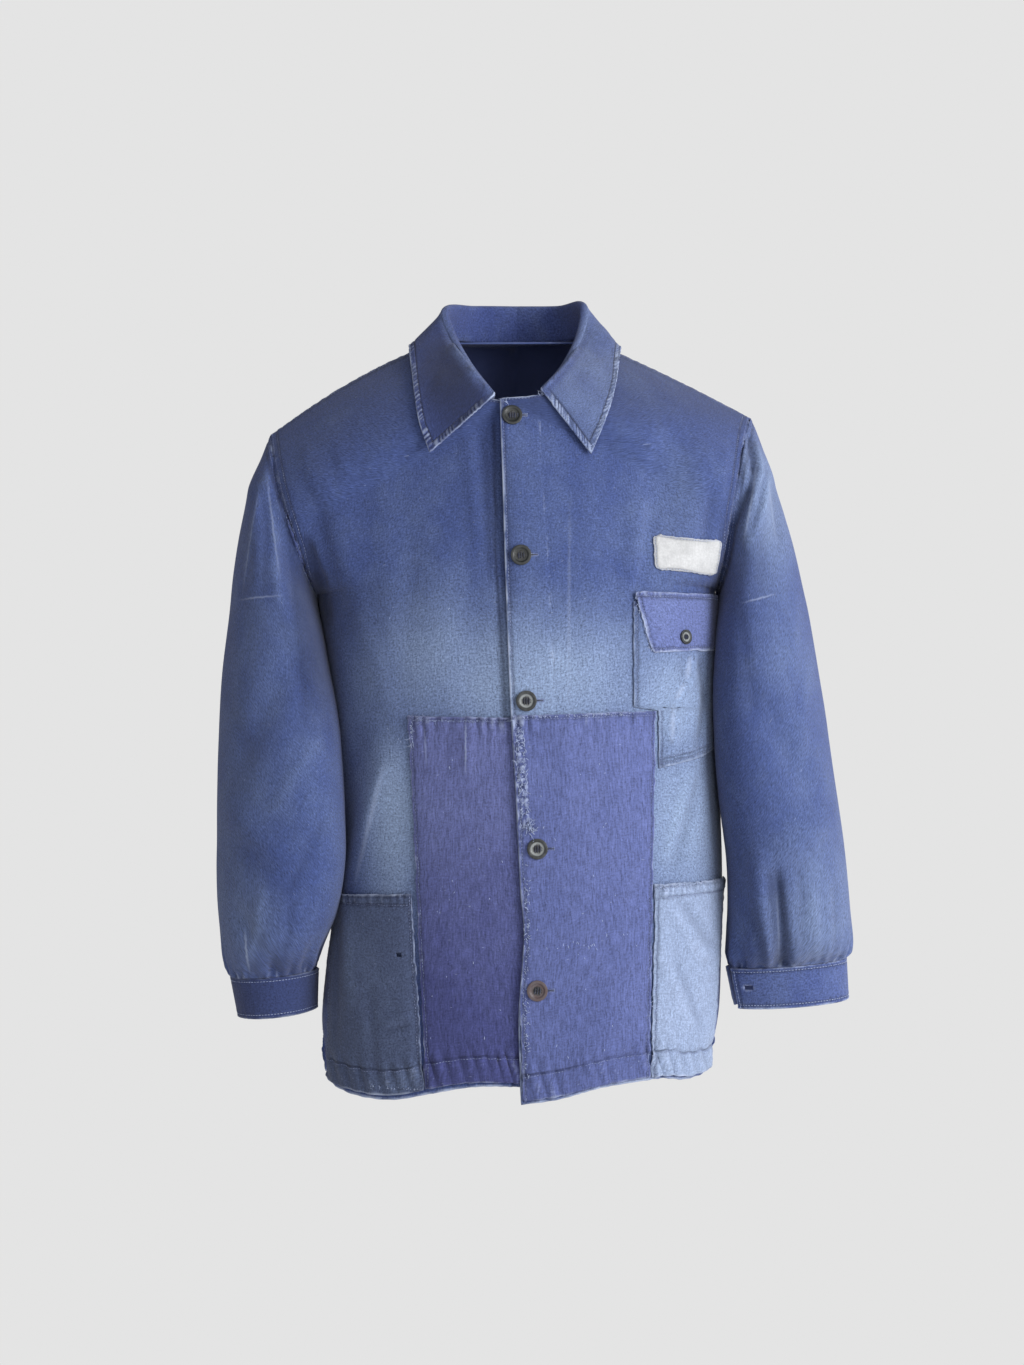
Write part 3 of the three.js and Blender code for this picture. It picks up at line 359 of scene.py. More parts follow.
# Knots in the yarns: piece, lowest and highest x and z, and how many
KNOTS = [
    ("patch_right", -76, -4, -650, -360, 12), ("patch_right", -70, -50, -520, -490, 8),
    ("patch_left", 14, 110, -650, -356, 26), ("patch_left", 20, 70, -556, -540, 14),
    ("hip_pocket_left", 124, 168, -640, -510, 12), ("hip_pocket_right", -160, -96, -650, -520, 8),
    ("front_right", -130, -30, -480, -160, 12),
]

# The front buttons from the top at x and z, and the first of them that is on the patch
FRONT_BUTTONS = [(-4.6, -81), (3.2, -206), (7.8, -333), (17.2, -461), (17.1, -583)]
FRONT_BUTTON_MATERIALS = ("Dark button", "Dark button", "Grey button", "Grey button", "Brown button")
PATCH_TOP_BUTTON = 3
FLAP_BUTTON = (146, -277)
BUTTON_SLOTS = {"Dark button": "button_dark", "Grey button": "button_grey", "Brown button": "button_brown"}

# A button's thickness in metres, and the place and size of its holes and the width of its rim and
# slope as shares of its radius
BUTTON_THICKNESS = 0.003
HOLE_PLACE, HOLE_SIZE = 0.24, 0.078
RIM_WIDTH, SLOPE_WIDTH = 0.26, 0.12

# The hole in the right hip pocket at x and z, and the left cuff's buttonhole from its end and bottom
POCKET_HOLE = (-103.5, -556)
CUFF_SLIT = (15, 0.53)

# Pale lines where creases on the front have rubbed: x, z, x, z, width and strength
PALE_LINES = [
    (-252, -243, -207, -240, 1.2, 0.36), (-226, -128, -211, -224, 1.2, 0.26),
    (-232, -142, -247, -242, 1.2, 0.22), (198, -247, 231, -238, 1.2, 0.36),
    (218, -112, 201, -196, 1.4, 0.3), (226, -128, 233, -190, 1.3, 0.24),
    (-117, -386, -146, -500, 3.2, 0.3), (-45, -346, -45, -398, 1.1, 0.5),
    (-240, -534, -238, -576, 1.6, 0.5), (46, -150, 44, -350, 2.2, 0.12),
    (229, -500, 233, -566, 1.4, 0.25), (-82, -350, -79, -392, 1.2, 0.25),
    (154, -292, 150, -316, 3.2, 0.4), (149, -317, 139, -333, 3.0, 0.4), (138, -334, 136, -372, 3.2, 0.4),
]

# Where the cloth has bleached, by part and face: x, z, half width, half height and strength
BLEACHED = {
    ("body", FRONT): [
        (20, -314, 125, 60, 0.84), (-70, -306, 70, 66, 0.58), (150, -440, 60, 110, 0.8),
        (140, -335, 60, 60, 0.85), (-108, -440, 30, 100, 0.84), (-108, -320, 55, 90, 0.42),
        (20, -160, 70, 90, 0.07), (140, -180, 46, 60, 0.22), (-80, -400, 50, 60, 0.6),
        (-66, -250, 56, 40, 0.2),
    ],
    ("body", BACK): [(0, -110, 150, 60, 0.34), (0, -330, 130, 150, 0.14), (0, -610, 150, 70, 0.3)],
    ("right", FRONT): [(-240, -530, 44, 50, 0.3), (-222, -380, 50, 150, 0.14)],
    ("right", BACK): [(-230, -380, 36, 80, 0.3)],
    ("left", FRONT): [(270, -520, 50, 60, 0.34), (228, -150, 30, 74, 0.5), (240, -300, 34, 120, 0.1)],
    ("left", BACK): [(240, -390, 36, 80, 0.3)],
}


def mix(a, b, k):
    return a + (b - a) * k


def ease(k):
    return k * k * (3 - 2 * k)


def ramp(k):
    """A smooth step from 0 to 1 as k goes from 0 to 1."""
    return ease(np.clip(k, 0, 1))


def bump(distance, width):
    """A soft rise of 1 where the distance is 0."""
    return np.exp(-((distance / width) ** 2))


def unit(vectors):
    return vectors / np.maximum(np.linalg.norm(vectors, axis=-1, keepdims=True), 1e-9)


def outward(side):
    return 1 if side == "left" else -1


def lattice(i, j, seed):
    """A repeatable value from 0 to 1 for each whole-number place."""
    h = (i * 374761393 + j * 668265263 + seed * 974634777) & 0xFFFFFFFF
    h = ((h ^ (h >> 13)) * 1274126177) & 0xFFFFFFFF
    return ((h ^ (h >> 16)) & 0xFFFF) / 65535.0


def noise(x, y=0.0, seed=0):
    """Smooth noise from -1 to 1, the same on every run."""
    x, y = np.broadcast_arrays(np.asarray(x, float), np.asarray(y, float))
    i = np.floor(x).astype(np.int64)
    j = np.floor(y).astype(np.int64)
    across, up = ease(x - i), ease(y - j)
    low = mix(lattice(i, j, seed), lattice(i + 1, j, seed), across)
    high = mix(lattice(i, j + 1, seed), lattice(i + 1, j + 1, seed), across)
    return mix(low, high, up) * 2 - 1


def puckers(along, pitch, seed):
    """Uneven ridges and troughs about a pitch apart, from -1 to 1."""
    drift = noise(along / (pitch * 1.9), 0.0, seed)
    size = 0.62 + 0.38 * noise(along / (pitch * 1.4), 5.0, seed)
    return np.sin(2 * np.pi * (along / pitch + 0.8 * drift)) * size


def track(keys):
    """A smooth curve through rows that each start with their parameter."""
    keys = np.array(keys, float)
    starts, values = keys[:, 0], keys[:, 1:]

    def curve(at):
        at = np.asarray(at, float)
        k = np.searchsorted(starts[1:-1], at, side="left")
        before, after = np.maximum(k - 1, 0), np.minimum(k + 2, len(starts) - 1)
        span = (starts[k + 1] - starts[k])[..., None]
        s = (at - starts[k])[..., None] / span
        slope_in = (values[k + 1] - values[before]) / (starts[k + 1] - starts[before])[..., None]
        slope_out = (values[after] - values[k]) / (starts[after] - starts[k])[..., None]
        return (
            (2 * s**3 - 3 * s**2 + 1) * values[k]
            + (s**3 - 2 * s**2 + s) * span * slope_in
            + (3 * s**2 - 2 * s**3) * values[k + 1]
            + (s**3 - s**2) * span * slope_out
        )

    return curve


TRACKS = {
    side: {
        "seam": track(SIDE_SEAMS[side]),
        "edge": track(FRONT_EDGES[side]),
        "neckline": track(NECKLINES[side]),
        "back_neckline": track(BACK_NECKLINES[side]),
        "hem": track(HEM_LINES[side]),
        "sleeve": {name: track(keys) for name, keys in SLEEVES[side].items()},
        "collar": {name: track(keys) for name, keys in COLLARS[side].items()},
    }
    for side in SIDES
}
CENTRE_BACK_TRACK = track(CENTRE_BACK)
FULLNESS_TRACK = track(FULLNESS)


def corner(u, full):
    """A unit curve between an ellipse and a straight line: how far along, and how far out."""
    s, c = np.sin(u * np.pi / 2), np.cos(u * np.pi / 2)
    c = np.maximum(c, 0)
    r = (s**full + c**full) ** (-1 / full)
    return r * s, r * c


def fold_height(part, face, x, z, widest=100):
    """How far the folds of one part, up to a half width, lift its cloth. The face may differ by place."""
    total = np.zeros(np.broadcast(x, z).shape)
    for shown in (FRONT, BACK):
        for x0, z0, x1, z1, width, height in FOLDS.get((part, shown), ()):
            if width > widest:
                continue
            dx, dz = x1 - x0, z1 - z0
            kept = np.clip(((x - x0) * dx + (z - z0) * dz) / (dx * dx + dz * dz), 0, 1)
            away = np.hypot(x - x0 - kept * dx, z - z0 - kept * dz)
            taper = ramp(1.4 - np.abs(kept - 0.5) * 1.6)
            total += np.where(face == shown, height * taper * bump(away, width), 0)
    return total


def crumple(x, z, seed):
    """The slight unevenness of washed cotton."""
    return 0.5 * noise(x / 46, z / 60, seed) + 0.22 * noise(x / 17, z / 23, seed + 1)


def armhole(side, face, k):
    """The point at k of an armhole, from the armpit to the shoulder."""
    k = np.asarray(k, float)
    m = 1 - k
    weights = [m**3, 3 * m * m * k, 3 * m * k * k, k**3]
    x, y_front, y_back, z = (
        sum(weight * guide[i] for weight, guide in zip(weights, ARMHOLES[side])) for i in range(4)
    )
    return np.stack([x, np.where(face == FRONT, y_front, y_back), z], axis=-1)


def side_end(side, face, v):
    """Where a panel's row ends, at the side seam or at the armhole."""
    k = np.round((v - ARMPIT_ROW) / (1 - ARMPIT_ROW), 6)
    end = np.where(
        (v <= ARMPIT_ROW)[..., None], TRACKS[side]["seam"](v), armhole(side, face, np.clip(k, 0, 1))
    )
    gap = np.where((k <= 0) | (k >= 1), face * SEAM_GAP * 0.6, 0)
    vent = VENT_OPENING[side] * ramp(1 - v / VENT_ROW) if face == FRONT else np.zeros(v.shape)
    shift = np.stack([-outward(side) * vent * 0.35, gap - vent, np.zeros(v.shape)], axis=-1)
    return end + shift


def panel_point(side, face, u, v):
    """A point of the front (face FRONT) or of the back, from its middle (u = 0) to its side (u = 1)."""
    u, v = np.broadcast_arrays(np.asarray(u, float), np.asarray(v, float))
    tracks = TRACKS[side]
    if face == FRONT:
        middle = np.where((v <= FRONT_NECK_ROW)[..., None], tracks["edge"](v), tracks["neckline"](v))
    else:
        on_back = (v <= BACK_NECK_ROW)[..., None]
        middle = np.where(on_back, CENTRE_BACK_TRACK(v), tracks["back_neckline"](v))
    end = side_end(side, face, v)
    along, out = corner(u, FULLNESS_TRACK(v)[..., 0])
    gap = np.where(v >= 1, face * SEAM_GAP * 0.6, 0)
    x = mix(middle[..., 0], end[..., 0], along)
    y = mix(end[..., 1], middle[..., 1] + gap, out)
    z = mix(middle[..., 2], end[..., 2], along)
    if face == FRONT:
        z = z + tracks["hem"](u)[..., 0] * ramp(1 - v / HEM_LINE_ROW)
    bow = SHOULDER_RISE[side] * 4 * along * (1 - along)
    z = z + bow * ramp((v - SHOULDER_RISE_ROW) / (1 - SHOULDER_RISE_ROW))
    facing = np.where(y < 0, FRONT, BACK)
    height = fold_height("body", facing, x, z) + crumple(x + 400 * facing, z, 11)
    height = height * ramp((np.abs(y) - 12) / 40)
    point = np.stack([x, y, z], axis=-1)
    return point + unit(np.stack([x / 180, y / 120, 0 * z], axis=-1)) * height[..., None]


def sleeve_point(side, turn, t):
    """A point of a sleeve. A turn of 0 is its outer line and 0.25 its front."""
    turn, t = np.broadcast_arrays(np.asarray(turn, float), np.asarray(t, float))
    lines = TRACKS[side]["sleeve"]
    outer, inner = lines["outer"](t), lines["inner"](t)
    angle = turn * 2 * np.pi
    c, s = np.cos(angle), np.sin(angle)
    full = 2.15
    r = (np.abs(c) ** full + np.abs(s) ** full) ** (-1 / full)
    forward = lines["middle"](t)[..., 0] - lines["lean"](t)[..., 0] * (1 - r * c) / 2
    half = (outer - inner) / 2
    x = (outer[..., 0] + inner[..., 0]) / 2 + half[..., 0] * r * c
    z = (outer[..., 1] + inner[..., 1]) / 2 + half[..., 1] * r * c
    point = np.stack([x, forward - lines["depth"](t)[..., 0] * r * s, z], axis=-1)
    out = unit(np.stack([r * c * outward(side), -r * s, 0 * r], axis=-1))
    face = np.where(s > 0, FRONT, BACK)
    held = ramp((1 - t) / 0.03)
    waves = np.cos(angle * GATHER_WAVES) * GATHER_HEIGHT * ramp(1 - (1 - t) / GATHER_RISE) * held
    uneven = fold_height(side, face, x, z) * ramp(np.abs(s) * 1.6) + 0.8 * crumple(x + 300 * face, z, 23)
    point = point + out * (waves + uneven * ramp(t / 0.06) * held)[..., None]
    sewn = ramp(1 - t / 0.12)[..., None]
    hole = armhole(side, np.where(turn <= 0.5, FRONT, BACK), np.abs(1 - 2 * turn))
    return mix(point, hole, sewn)


def cuff_point(side, q, h):
    """A point of a cuff's strip: q runs along it and h from its bottom to its top."""
    q, h = np.broadcast_arrays(np.asarray(q, float), np.asarray(h, float))
    cuff = CUFFS[side]
    ends = [mix(np.array(cuff["bottom"][k]), np.array(cuff["top"][k]), h[..., None]) for k in (0, 1)]
    degrees = cuff["start"] + q * cuff["turn"]
    angle = np.radians(degrees)
    c, s = np.cos(angle), np.sin(angle)
    lap = ramp((q * cuff["turn"] - 300) / 60)
    grow = lap * (CUFF_CLOTH + LAYER_GAP) + cuff["spread"] * ramp((q - 0.75) / 0.25) * 1.5
    middle, half = (ends[0] + ends[1]) / 2, (ends[0] - ends[1]) / 2
    x = middle[..., 0] + half[..., 0] * c + outward(side) * grow * c
    y = cuff["middle"] - (cuff["depth"] + grow) * s
    z = middle[..., 1] + half[..., 1] * c
    return np.stack([x, y, z], axis=-1)


def neck_seam(side, s):
    """The point of the neck seam at s along the collar."""
    behind = s < SHOULDER_SEAM_ON_COLLAR
    row_back = mix(BACK_NECK_ROW, 1, s / SHOULDER_SEAM_ON_COLLAR)
    row_front = mix(1, COLLAR_END_ROW, (s - SHOULDER_SEAM_ON_COLLAR) / (1 - SHOULDER_SEAM_ON_COLLAR))
    back = TRACKS[side]["back_neckline"](np.where(behind, row_back, 1))
    front = TRACKS[side]["neckline"](np.where(behind, 1, row_front))
    return np.where(behind[..., None], back, front)


def collar_point(side, s, t, near):
    """A point of the collar: up from the neck seam (t = 0), over the roll and down to its edge."""
    s, t = np.broadcast_arrays(np.asarray(s, float), np.asarray(t, float))
    to_world = np.array([outward(side), 1, 1])
    roll = TRACKS[side]["collar"]["roll"](s) * to_world
    edge = TRACKS[side]["collar"]["edge"](s) * to_world
    seam = neck_seam(side, s)
    stretch = np.where(roll[..., 1] < 0, 1, 1.15)
    out = unit(np.stack([roll[..., 0], roll[..., 1] * stretch, 0 * s], axis=-1))
    turned = ramp((s - COLLAR_FRONT) / (1 - COLLAR_FRONT))[..., None]
    out = unit(mix(out, np.array([0.0, -1.0, 0.0]), turned))
    radius = mix(3.2, 1.9, ramp((s - 0.5) / 0.5))[..., None]
    up = np.array([0.0, 0.0, 1.0])
    middle = roll - radius * up
    foot = seam - out * (1.2 + COLLAR_CLOTH / 2) + 1.4 * up
    inside, outside = middle - out * radius, middle + out * radius
    over = np.clip((t - COLLAR_STAND_TURN) / (COLLAR_ROLL_TURN - COLLAR_STAND_TURN), 0, 1)
    angle = (np.pi * over)[..., None]
    stand = mix(foot, inside, np.clip(t / COLLAR_STAND_TURN, 0, 1)[..., None])
    bend = middle - out * radius * np.cos(angle) + up * radius * np.sin(angle)
    k = np.clip((t - COLLAR_ROLL_TURN) / (1 - COLLAR_ROLL_TURN), 0, 1)
    bow = 4 * k * (1 - k) * mix(4, 1, s)
    fall = mix(outside, edge, k[..., None]) + out * bow[..., None]
    clearance = COLLAR_CLOTH / 2 + mix(1.8, 2.4, k)
    fall = stand_off(stand_off(fall, near, clearance), near, clearance)
    turned_over = np.where((t < COLLAR_ROLL_TURN)[..., None], bend, fall)
    return np.where((t < COLLAR_STAND_TURN)[..., None], stand, turned_over)


def stand_off(points, near, clearance):
    """Points moved out until they are so far off the cloth nearest to them."""
    reach = 60
    tree, places, normals = near
    moved = points.reshape(-1, 3).copy()
    wanted = np.broadcast_to(clearance, points.shape[:-1]).reshape(-1)
    for n, point in enumerate(moved):
        _, index, distance = tree.find(point)
        if distance < reach:
            height = float((point - places[index]) @ normals[index])
            if height < wanted[n]:
                moved[n] = point + normals[index] * (wanted[n] - height)
    return moved.reshape(points.shape)


def find_on_front(side, x, z):
    """The u and v at which a front has those x and z."""
    x, z = np.asarray(x, float), np.asarray(z, float)
    u = np.clip(np.abs(x) / 190, 0, 1) ** 1.2
    v = np.clip((z + 675) / 700, 0.01, 0.99)
    step = 1e-4
    for _ in range(30):
        here = panel_point(side, FRONT, u, v)
        du = (panel_point(side, FRONT, u + step, v) - here) / step
        dv = (panel_point(side, FRONT, u, v + step) - here) / step
        det = du[..., 0] * dv[..., 2] - dv[..., 0] * du[..., 2]
        ex, ez = x - here[..., 0], z - here[..., 2]
        u = np.clip(u + np.clip((ex * dv[..., 2] - dv[..., 0] * ez) / det, -0.1, 0.1), 0.001, 0.985)
        v = np.clip(v + np.clip((du[..., 0] * ez - ex * du[..., 2]) / det, -0.1, 0.1), 0.001, 0.985)
    return u, v


def arc(points, axis):
    """Lengths along rows (axis 1) or columns (axis 0) of a grid of points."""
    steps = np.linalg.norm(np.diff(points, axis=axis), axis=-1)
    first = np.zeros_like(np.take(steps, [0], axis=axis))
    return np.cumsum(np.concatenate([first, steps], axis=axis), axis=axis)


class Cloth:
    """A grid of points in millimetres, with its outward normals and the distance from each edge."""

    def __init__(self, points, sign, closed=False):
        self.points = points
        self.sign = sign
        self.closed = closed
        self.wear = np.zeros(points.shape[:2])
        # Real fading, and painted highlights
        self.fade = np.zeros(points.shape[:2])
        # Mostly painted shade, and a few real stains
        self.dark = np.zeros(points.shape[:2])
        self.hole = np.zeros(points.shape[:2], bool)
        along, up = arc(points, 1), arc(points, 0)
        self.start, self.end = along, along[:, -1:] - along
        self.bottom, self.top = up, up[-1:] - up
        self.set_normals()

    def set_normals(self):
        """Normals from the neighbours, also across the join of a closed tube."""
        across = np.gradient(self.points, axis=1)
        if self.closed:
            wrapped = self.points[:, 1] - self.points[:, -2]
            across[:, 0] = across[:, -1] = wrapped / 2
        up = np.gradient(self.points, axis=0)
        self.normals = unit(np.cross(across, up)) * self.sign

    @property
    def x(self):
        return self.points[..., 0]

    @property
    def z(self):
        return self.points[..., 2]

    def away_from(self, place):
        """The distance from x and z, seen from the front."""
        return np.hypot(self.x - place[0], self.z - place[1])

    def edge(self, *names):
        """The distance to the nearest of the named edges."""
        return np.minimum.reduce([getattr(self, name) for name in names])

    def raise_by(self, height):
        self.points = self.points + self.normals * height[..., None]
        self.set_normals()

    def seam(self, name, line, pucker, pitch, groove, seed, wear, reach=4.0):
        """Puckers and a stitched groove along a line so far from an edge, with wear on the ridges and painted
        shade in the troughs and the groove.
        """
        distance = getattr(self, name)
        along = self.bottom if name in ("start", "end") else self.start
        wave = puckers(along, pitch, seed)
        beyond = np.maximum(distance - line, 0)
        self.raise_by(pucker * wave * bump(beyond, reach) - groove * bump(distance - line, 1.1))
        self.rub(wear * np.clip(wave, 0, 1) * bump(beyond, reach * 0.5))
        # Painted shade in the troughs of the puckers and along the stitched groove
        self.darken(np.clip(-wave, 0, 1) * bump(beyond, reach * 0.6) * 0.35)
        self.darken(0.8 * bump(distance - line, 1.3))

    def rub(self, amount):
        self.wear = np.maximum(self.wear, amount)

    def lighten(self, amount):
        self.fade = np.maximum(self.fade, amount)

    def darken(self, amount):
        self.dark = np.maximum(self.dark, amount)

    def worn_edge(self, width, strength, *names, seed=0):
        """Wear that follows the edges, uneven along them."""
        distance = self.edge(*names)
        uneven = 0.75 + 0.45 * noise(self.x / 9, self.z / 9, seed)
        self.rub(strength * uneven * np.exp(-distance / width))

    def bleach(self, part):
        """Fades the places of one part that sun and washing have reached, softly between its faces."""
        before = ramp(0.5 - self.points[..., 1] / 50)
        for face, shown in ((FRONT, before), (BACK, 1 - before)):
            for x, z, wide, high, strength in BLEACHED[part, face]:
                self.lighten(strength * bump(self.x - x, wide) * bump(self.z - z, high) * shown)


# The cloths that the operators have shaped, by piece
CLOTHS = {}


def cloth_object(name, cloth, thickness, rise=0.0):
    """A closed wall of cloth: its outer face risen off the grid, its inner face, and rounded edges."""
    rows, columns = cloth.points.shape[:2]
    kept_columns = columns - 1 if cloth.closed else columns
    thick = np.broadcast_to(thickness, (rows, columns))
    outer = cloth.points + cloth.normals * rise
    inner = outer - cloth.normals * thick[..., None]
    count = rows * kept_columns
    j, i = np.meshgrid(np.arange(rows - 1), np.arange(columns - 1), indexing="ij")
    whole = ~(cloth.hole[:-1, :-1] | cloth.hole[1:, :-1] | cloth.hole[:-1, 1:] | cloth.hole[1:, 1:])
    j, i = j[whole], i[whole]
    corners = [(j, i), (j, i + 1), (j + 1, i + 1), (j + 1, i)]
    if cloth.sign < 0:
        corners.reverse()
    quads = np.stack([row * kept_columns + column % kept_columns for row, column in corners], axis=1)
    lengths = np.stack([cloth.start, cloth.bottom], axis=-1)
    uv_quads = np.stack([lengths[row, column] for row, column in corners], axis=1)
    following = np.roll(quads, -1, axis=1)
    edges = np.stack([quads.ravel(), following.ravel()], axis=1)
    codes = edges[:, 0] * count + edges[:, 1]
    free = ~np.isin(codes, edges[:, 1] * count + edges[:, 0])
    rim = edges[free]
    rim_uv = uv_quads.reshape(-1, 2)[free]

    def flat(grid):
        return grid[:, :kept_columns].reshape(count, -1)

    outer, inner, normals = flat(outer), flat(inner), flat(cloth.normals)
    push = np.zeros((count, 3))
    away = unit(np.cross(outer[rim[:, 1]] - outer[rim[:, 0]], normals[rim[:, 0]]))
    np.add.at(push, rim[:, 0], away)
    np.add.at(push, rim[:, 1], away)
    rim_ids = np.unique(rim)
    bulge = 0.3 * flat(thick[..., None])[rim_ids]
    middle = (outer[rim_ids] + inner[rim_ids]) / 2 + unit(push[rim_ids]) * bulge
    middle_of = np.zeros(count, int)
    middle_of[rim_ids] = 2 * count + np.arange(len(rim_ids))

    a, b = rim[:, 0], rim[:, 1]
    faces = np.concatenate([
        quads,
        quads[:, ::-1] + count,
        np.stack([b, a, middle_of[a], middle_of[b]], axis=1),
        np.stack([middle_of[b], middle_of[a], a + count, b + count], axis=1),
    ])
    rim_uvs = np.repeat(rim_uv[:, None, :], 4, axis=1)
    uvs = np.concatenate([uv_quads, uv_quads[:, ::-1], rim_uvs, rim_uvs]) * MM
    vertices = np.concatenate([outer, inner, middle])
    used = np.unique(faces)
    renumber = np.zeros(len(vertices), int)
    renumber[used] = np.arange(len(used))
    wear, fade, dark = (flat(grid[..., None])[:, 0] for grid in (cloth.wear, cloth.fade, cloth.dark))
    values = {
        "wear": np.concatenate([wear, wear * 0.5, wear[rim_ids]]),
        "fade": np.concatenate([fade, fade * 0.3, fade[rim_ids]]),
        "dark": np.concatenate([dark, dark * 0.3, dark[rim_ids] * 0.3]),
        "inside": np.concatenate([np.zeros(count), np.ones(count), np.full(len(rim_ids), 0.2)]),
    }
    values = {key: value[used] for key, value in values.items()}
    return mesh_object(name, vertices[used], renumber[faces], uvs, values)


def set_values(mesh, values):
    """Sets values at a mesh's points that its material reads by name."""
    for key, value in values.items():
        attribute = mesh.attributes.new(key, "FLOAT", "POINT")
        attribute.data.foreach_set("value", np.clip(value, 0, 1).astype(np.float32))


def mesh_object(name, vertices, faces, uvs=None, values=None):
    """A mesh object from vertices in millimetres, with a UV map in metres and float attributes."""
    mesh = bpy.data.meshes.new(name)
    mesh.from_pydata((vertices * MM).tolist(), [], faces.tolist())
    if uvs is not None:
        layer = mesh.uv_layers.new(name="cloth")
        layer.data.foreach_set("uv", uvs.reshape(-1).astype(np.float32))
    set_values(mesh, values or {})
    mesh.shade_smooth()
    mesh.validate()
    item = bpy.data.objects.new(name, mesh)
    bpy.context.scene.collection.objects.link(item)
    return item


def finish_piece(item, material, slot, *nodes):
    """Gives a piece its material and its body, and hides the nodes that it stands for; its slot is not used.
    """
    item.data.materials.append(material)
    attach(item, "root")
    if nodes:
        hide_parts(*nodes)
    return item


# Sewing


def edge_line(cloth, name, distance, span=(0.0, 1.0), rise=0.0):
    """Points and normals of a line on the cloth so far from an edge, over part of its length."""
    away = getattr(cloth, name)
    by_row = name in ("start", "end")
    if not by_row:
        away = away.T
    order = -1 if name in ("end", "top") else 1
    result = []
    for grid in (cloth.points + cloth.normals * rise, cloth.normals):
        lines = grid if by_row else np.swapaxes(grid, 0, 1)
        picked = [
            [np.interp(distance, away[k][::order], lines[k, ::order, axis]) for axis in range(3)]
            for k in range(len(away))
        ]
        result.append(np.array(picked))
    points, normals = result
    low, high = (int(round(part * (len(points) - 1))) for part in span)
    return points[low:high + 1], unit(normals[low:high + 1])


def stitches_along(line, pitch, length):
    """Centres, directions and normals of stitches laid along a line."""
    points, normals = line
    lengths = arc(points[None], 1)[0]
    if lengths[-1] < pitch:
        return np.zeros((0, 3, 3))
    at = np.arange(pitch / 2, lengths[-1], pitch)

    def sample(grid, where):
        return np.stack([np.interp(where, lengths, grid[:, k]) for k in range(3)], axis=-1)

    ahead, behind = sample(points, at + length / 2), sample(points, at - length / 2)
    return np.stack([(ahead + behind) / 2, ahead - behind, unit(sample(normals, at))], axis=1)


def thread_mesh(name, stitches, radius=0.24, sink=0.12):
    """One mesh of raised stitches from their centres, directions and normals."""
    stitches = np.asarray(stitches)
    centre, along, normal = stitches[:, 0], stitches[:, 1], stitches[:, 2]
    side = unit(np.cross(along, normal))
    rings = []
    for place, height, size in ((-0.5, -sink, 0.6), (0.0, 0.6, 1.0), (0.5, -sink, 0.6)):
        spine = centre + along * place + normal * (height * radius * 1.4)
        for turn in range(4):
            angle = np.pi / 2 * turn
            offset = side * np.cos(angle) + normal * np.sin(angle)
            rings.append(spine + offset * radius * size)
    vertices = np.stack(rings, axis=1).reshape(-1, 3)
    faces = []
    for ring in range(2):
        for turn in range(4):
            a, b = ring * 4 + turn, ring * 4 + (turn + 1) % 4
            faces.append([a, b, b + 4, a + 4])
    faces += [[3, 2, 1, 0], [8, 9, 10, 11]]
    starts = np.arange(len(stitches)) * 12
    quads = (np.array(faces)[None] + starts[:, None, None]).reshape(-1, 4)
    return mesh_object(name, vertices, quads)


def sew(name, cloth, lines, material, slot, rise):
    """Rows of stitches on a piece, each as its edge, its distance and, if not all, the part that is sewn."""
    pitch, length = sizes().stitch_pitch, sizes().stitch_length
    rows = [stitches_along(edge_line(cloth, *line, rise=rise), pitch, length) for line in lines]
    return finish_piece(thread_mesh(name, np.concatenate(rows)), material, slot)


def lay_piece(name, material, slot, thread, lines, thickness, rise=0.0, **cut):
    """Makes a piece of CLOTHS and its stitches in place of its solid. How it was cut and hangs is given but
    not used.
    """
    cloth, materials = CLOTHS[name], bpy.data.materials
    piece = cloth_object(name + "_cloth", cloth, thickness, rise)
    finish_piece(piece, materials[material], slot, name)
    seams = sew(name + "_stitches", cloth, lines, materials[thread], slot, rise)


def loose_threads(name, starts, headings, normals, length, seed):
    """Frayed thread ends, which mostly lie on the cloth that they start from."""
    curl, lie, radius, steps = 0.6, 0.6, 0.34, 6
    rng = np.random.default_rng(seed)
    vertices, faces = [], []
    for start, heading, normal in zip(starts, headings, normals):
        reach = length * (0.4 + rng.random() ** 2)
        spine = [start + normal * 0.3]
        for _ in range(steps):
            heading = unit(heading + rng.normal(0, curl, 3))
            heading = unit(heading - normal * (heading @ normal) * lie)
            spine.append(spine[-1] + heading * reach / steps)
        base = len(vertices)
        for step, point in enumerate(spine):
            ahead = unit(spine[min(step + 1, steps)] - spine[max(step - 1, 0)])
            first = unit(np.cross(ahead, [0.3, 0.5, 0.8]))
            second = np.cross(ahead, first)
            size = radius * (1 - 0.11 * step)
            for turn in range(3):
                angle = 2 * np.pi * turn / 3
                vertices.append(point + (first * math.cos(angle) + second * math.sin(angle)) * size)
        for step in range(steps):
            for turn in range(3):
                a, b = base + step * 3 + turn, base + step * 3 + (turn + 1) % 3
                faces.append([a, b, b + 3, a + 3])
    return mesh_object(name, np.array(vertices), np.array(faces))


def on_cloth(name, x, z):
    """Places on a built piece's outer face at x and z, with their normals."""
    cloth, rise = CLOTHS[name], RISES.get(name, 0.0)
    points = cloth.points.reshape(-1, 3)
    normals = cloth.normals.reshape(-1, 3)
    near = [int(np.argmin((points[:, 0] - a) ** 2 + (points[:, 2] - b) ** 2)) for a, b in zip(x, z)]
    places = points[near] + normals[near] * rise
    places[:, 0], places[:, 2] = x, z
    return places, normals[near]


# Materials


def tone(code):
    """A colour in scene units from its usual six-digit code."""
    values = [int(code[k:k + 2], 16) / 255 for k in (0, 2, 4)]
    return tuple(v / 12.92 if v <= 0.04045 else ((v + 0.055) / 1.055) ** 2.4 for v in values)


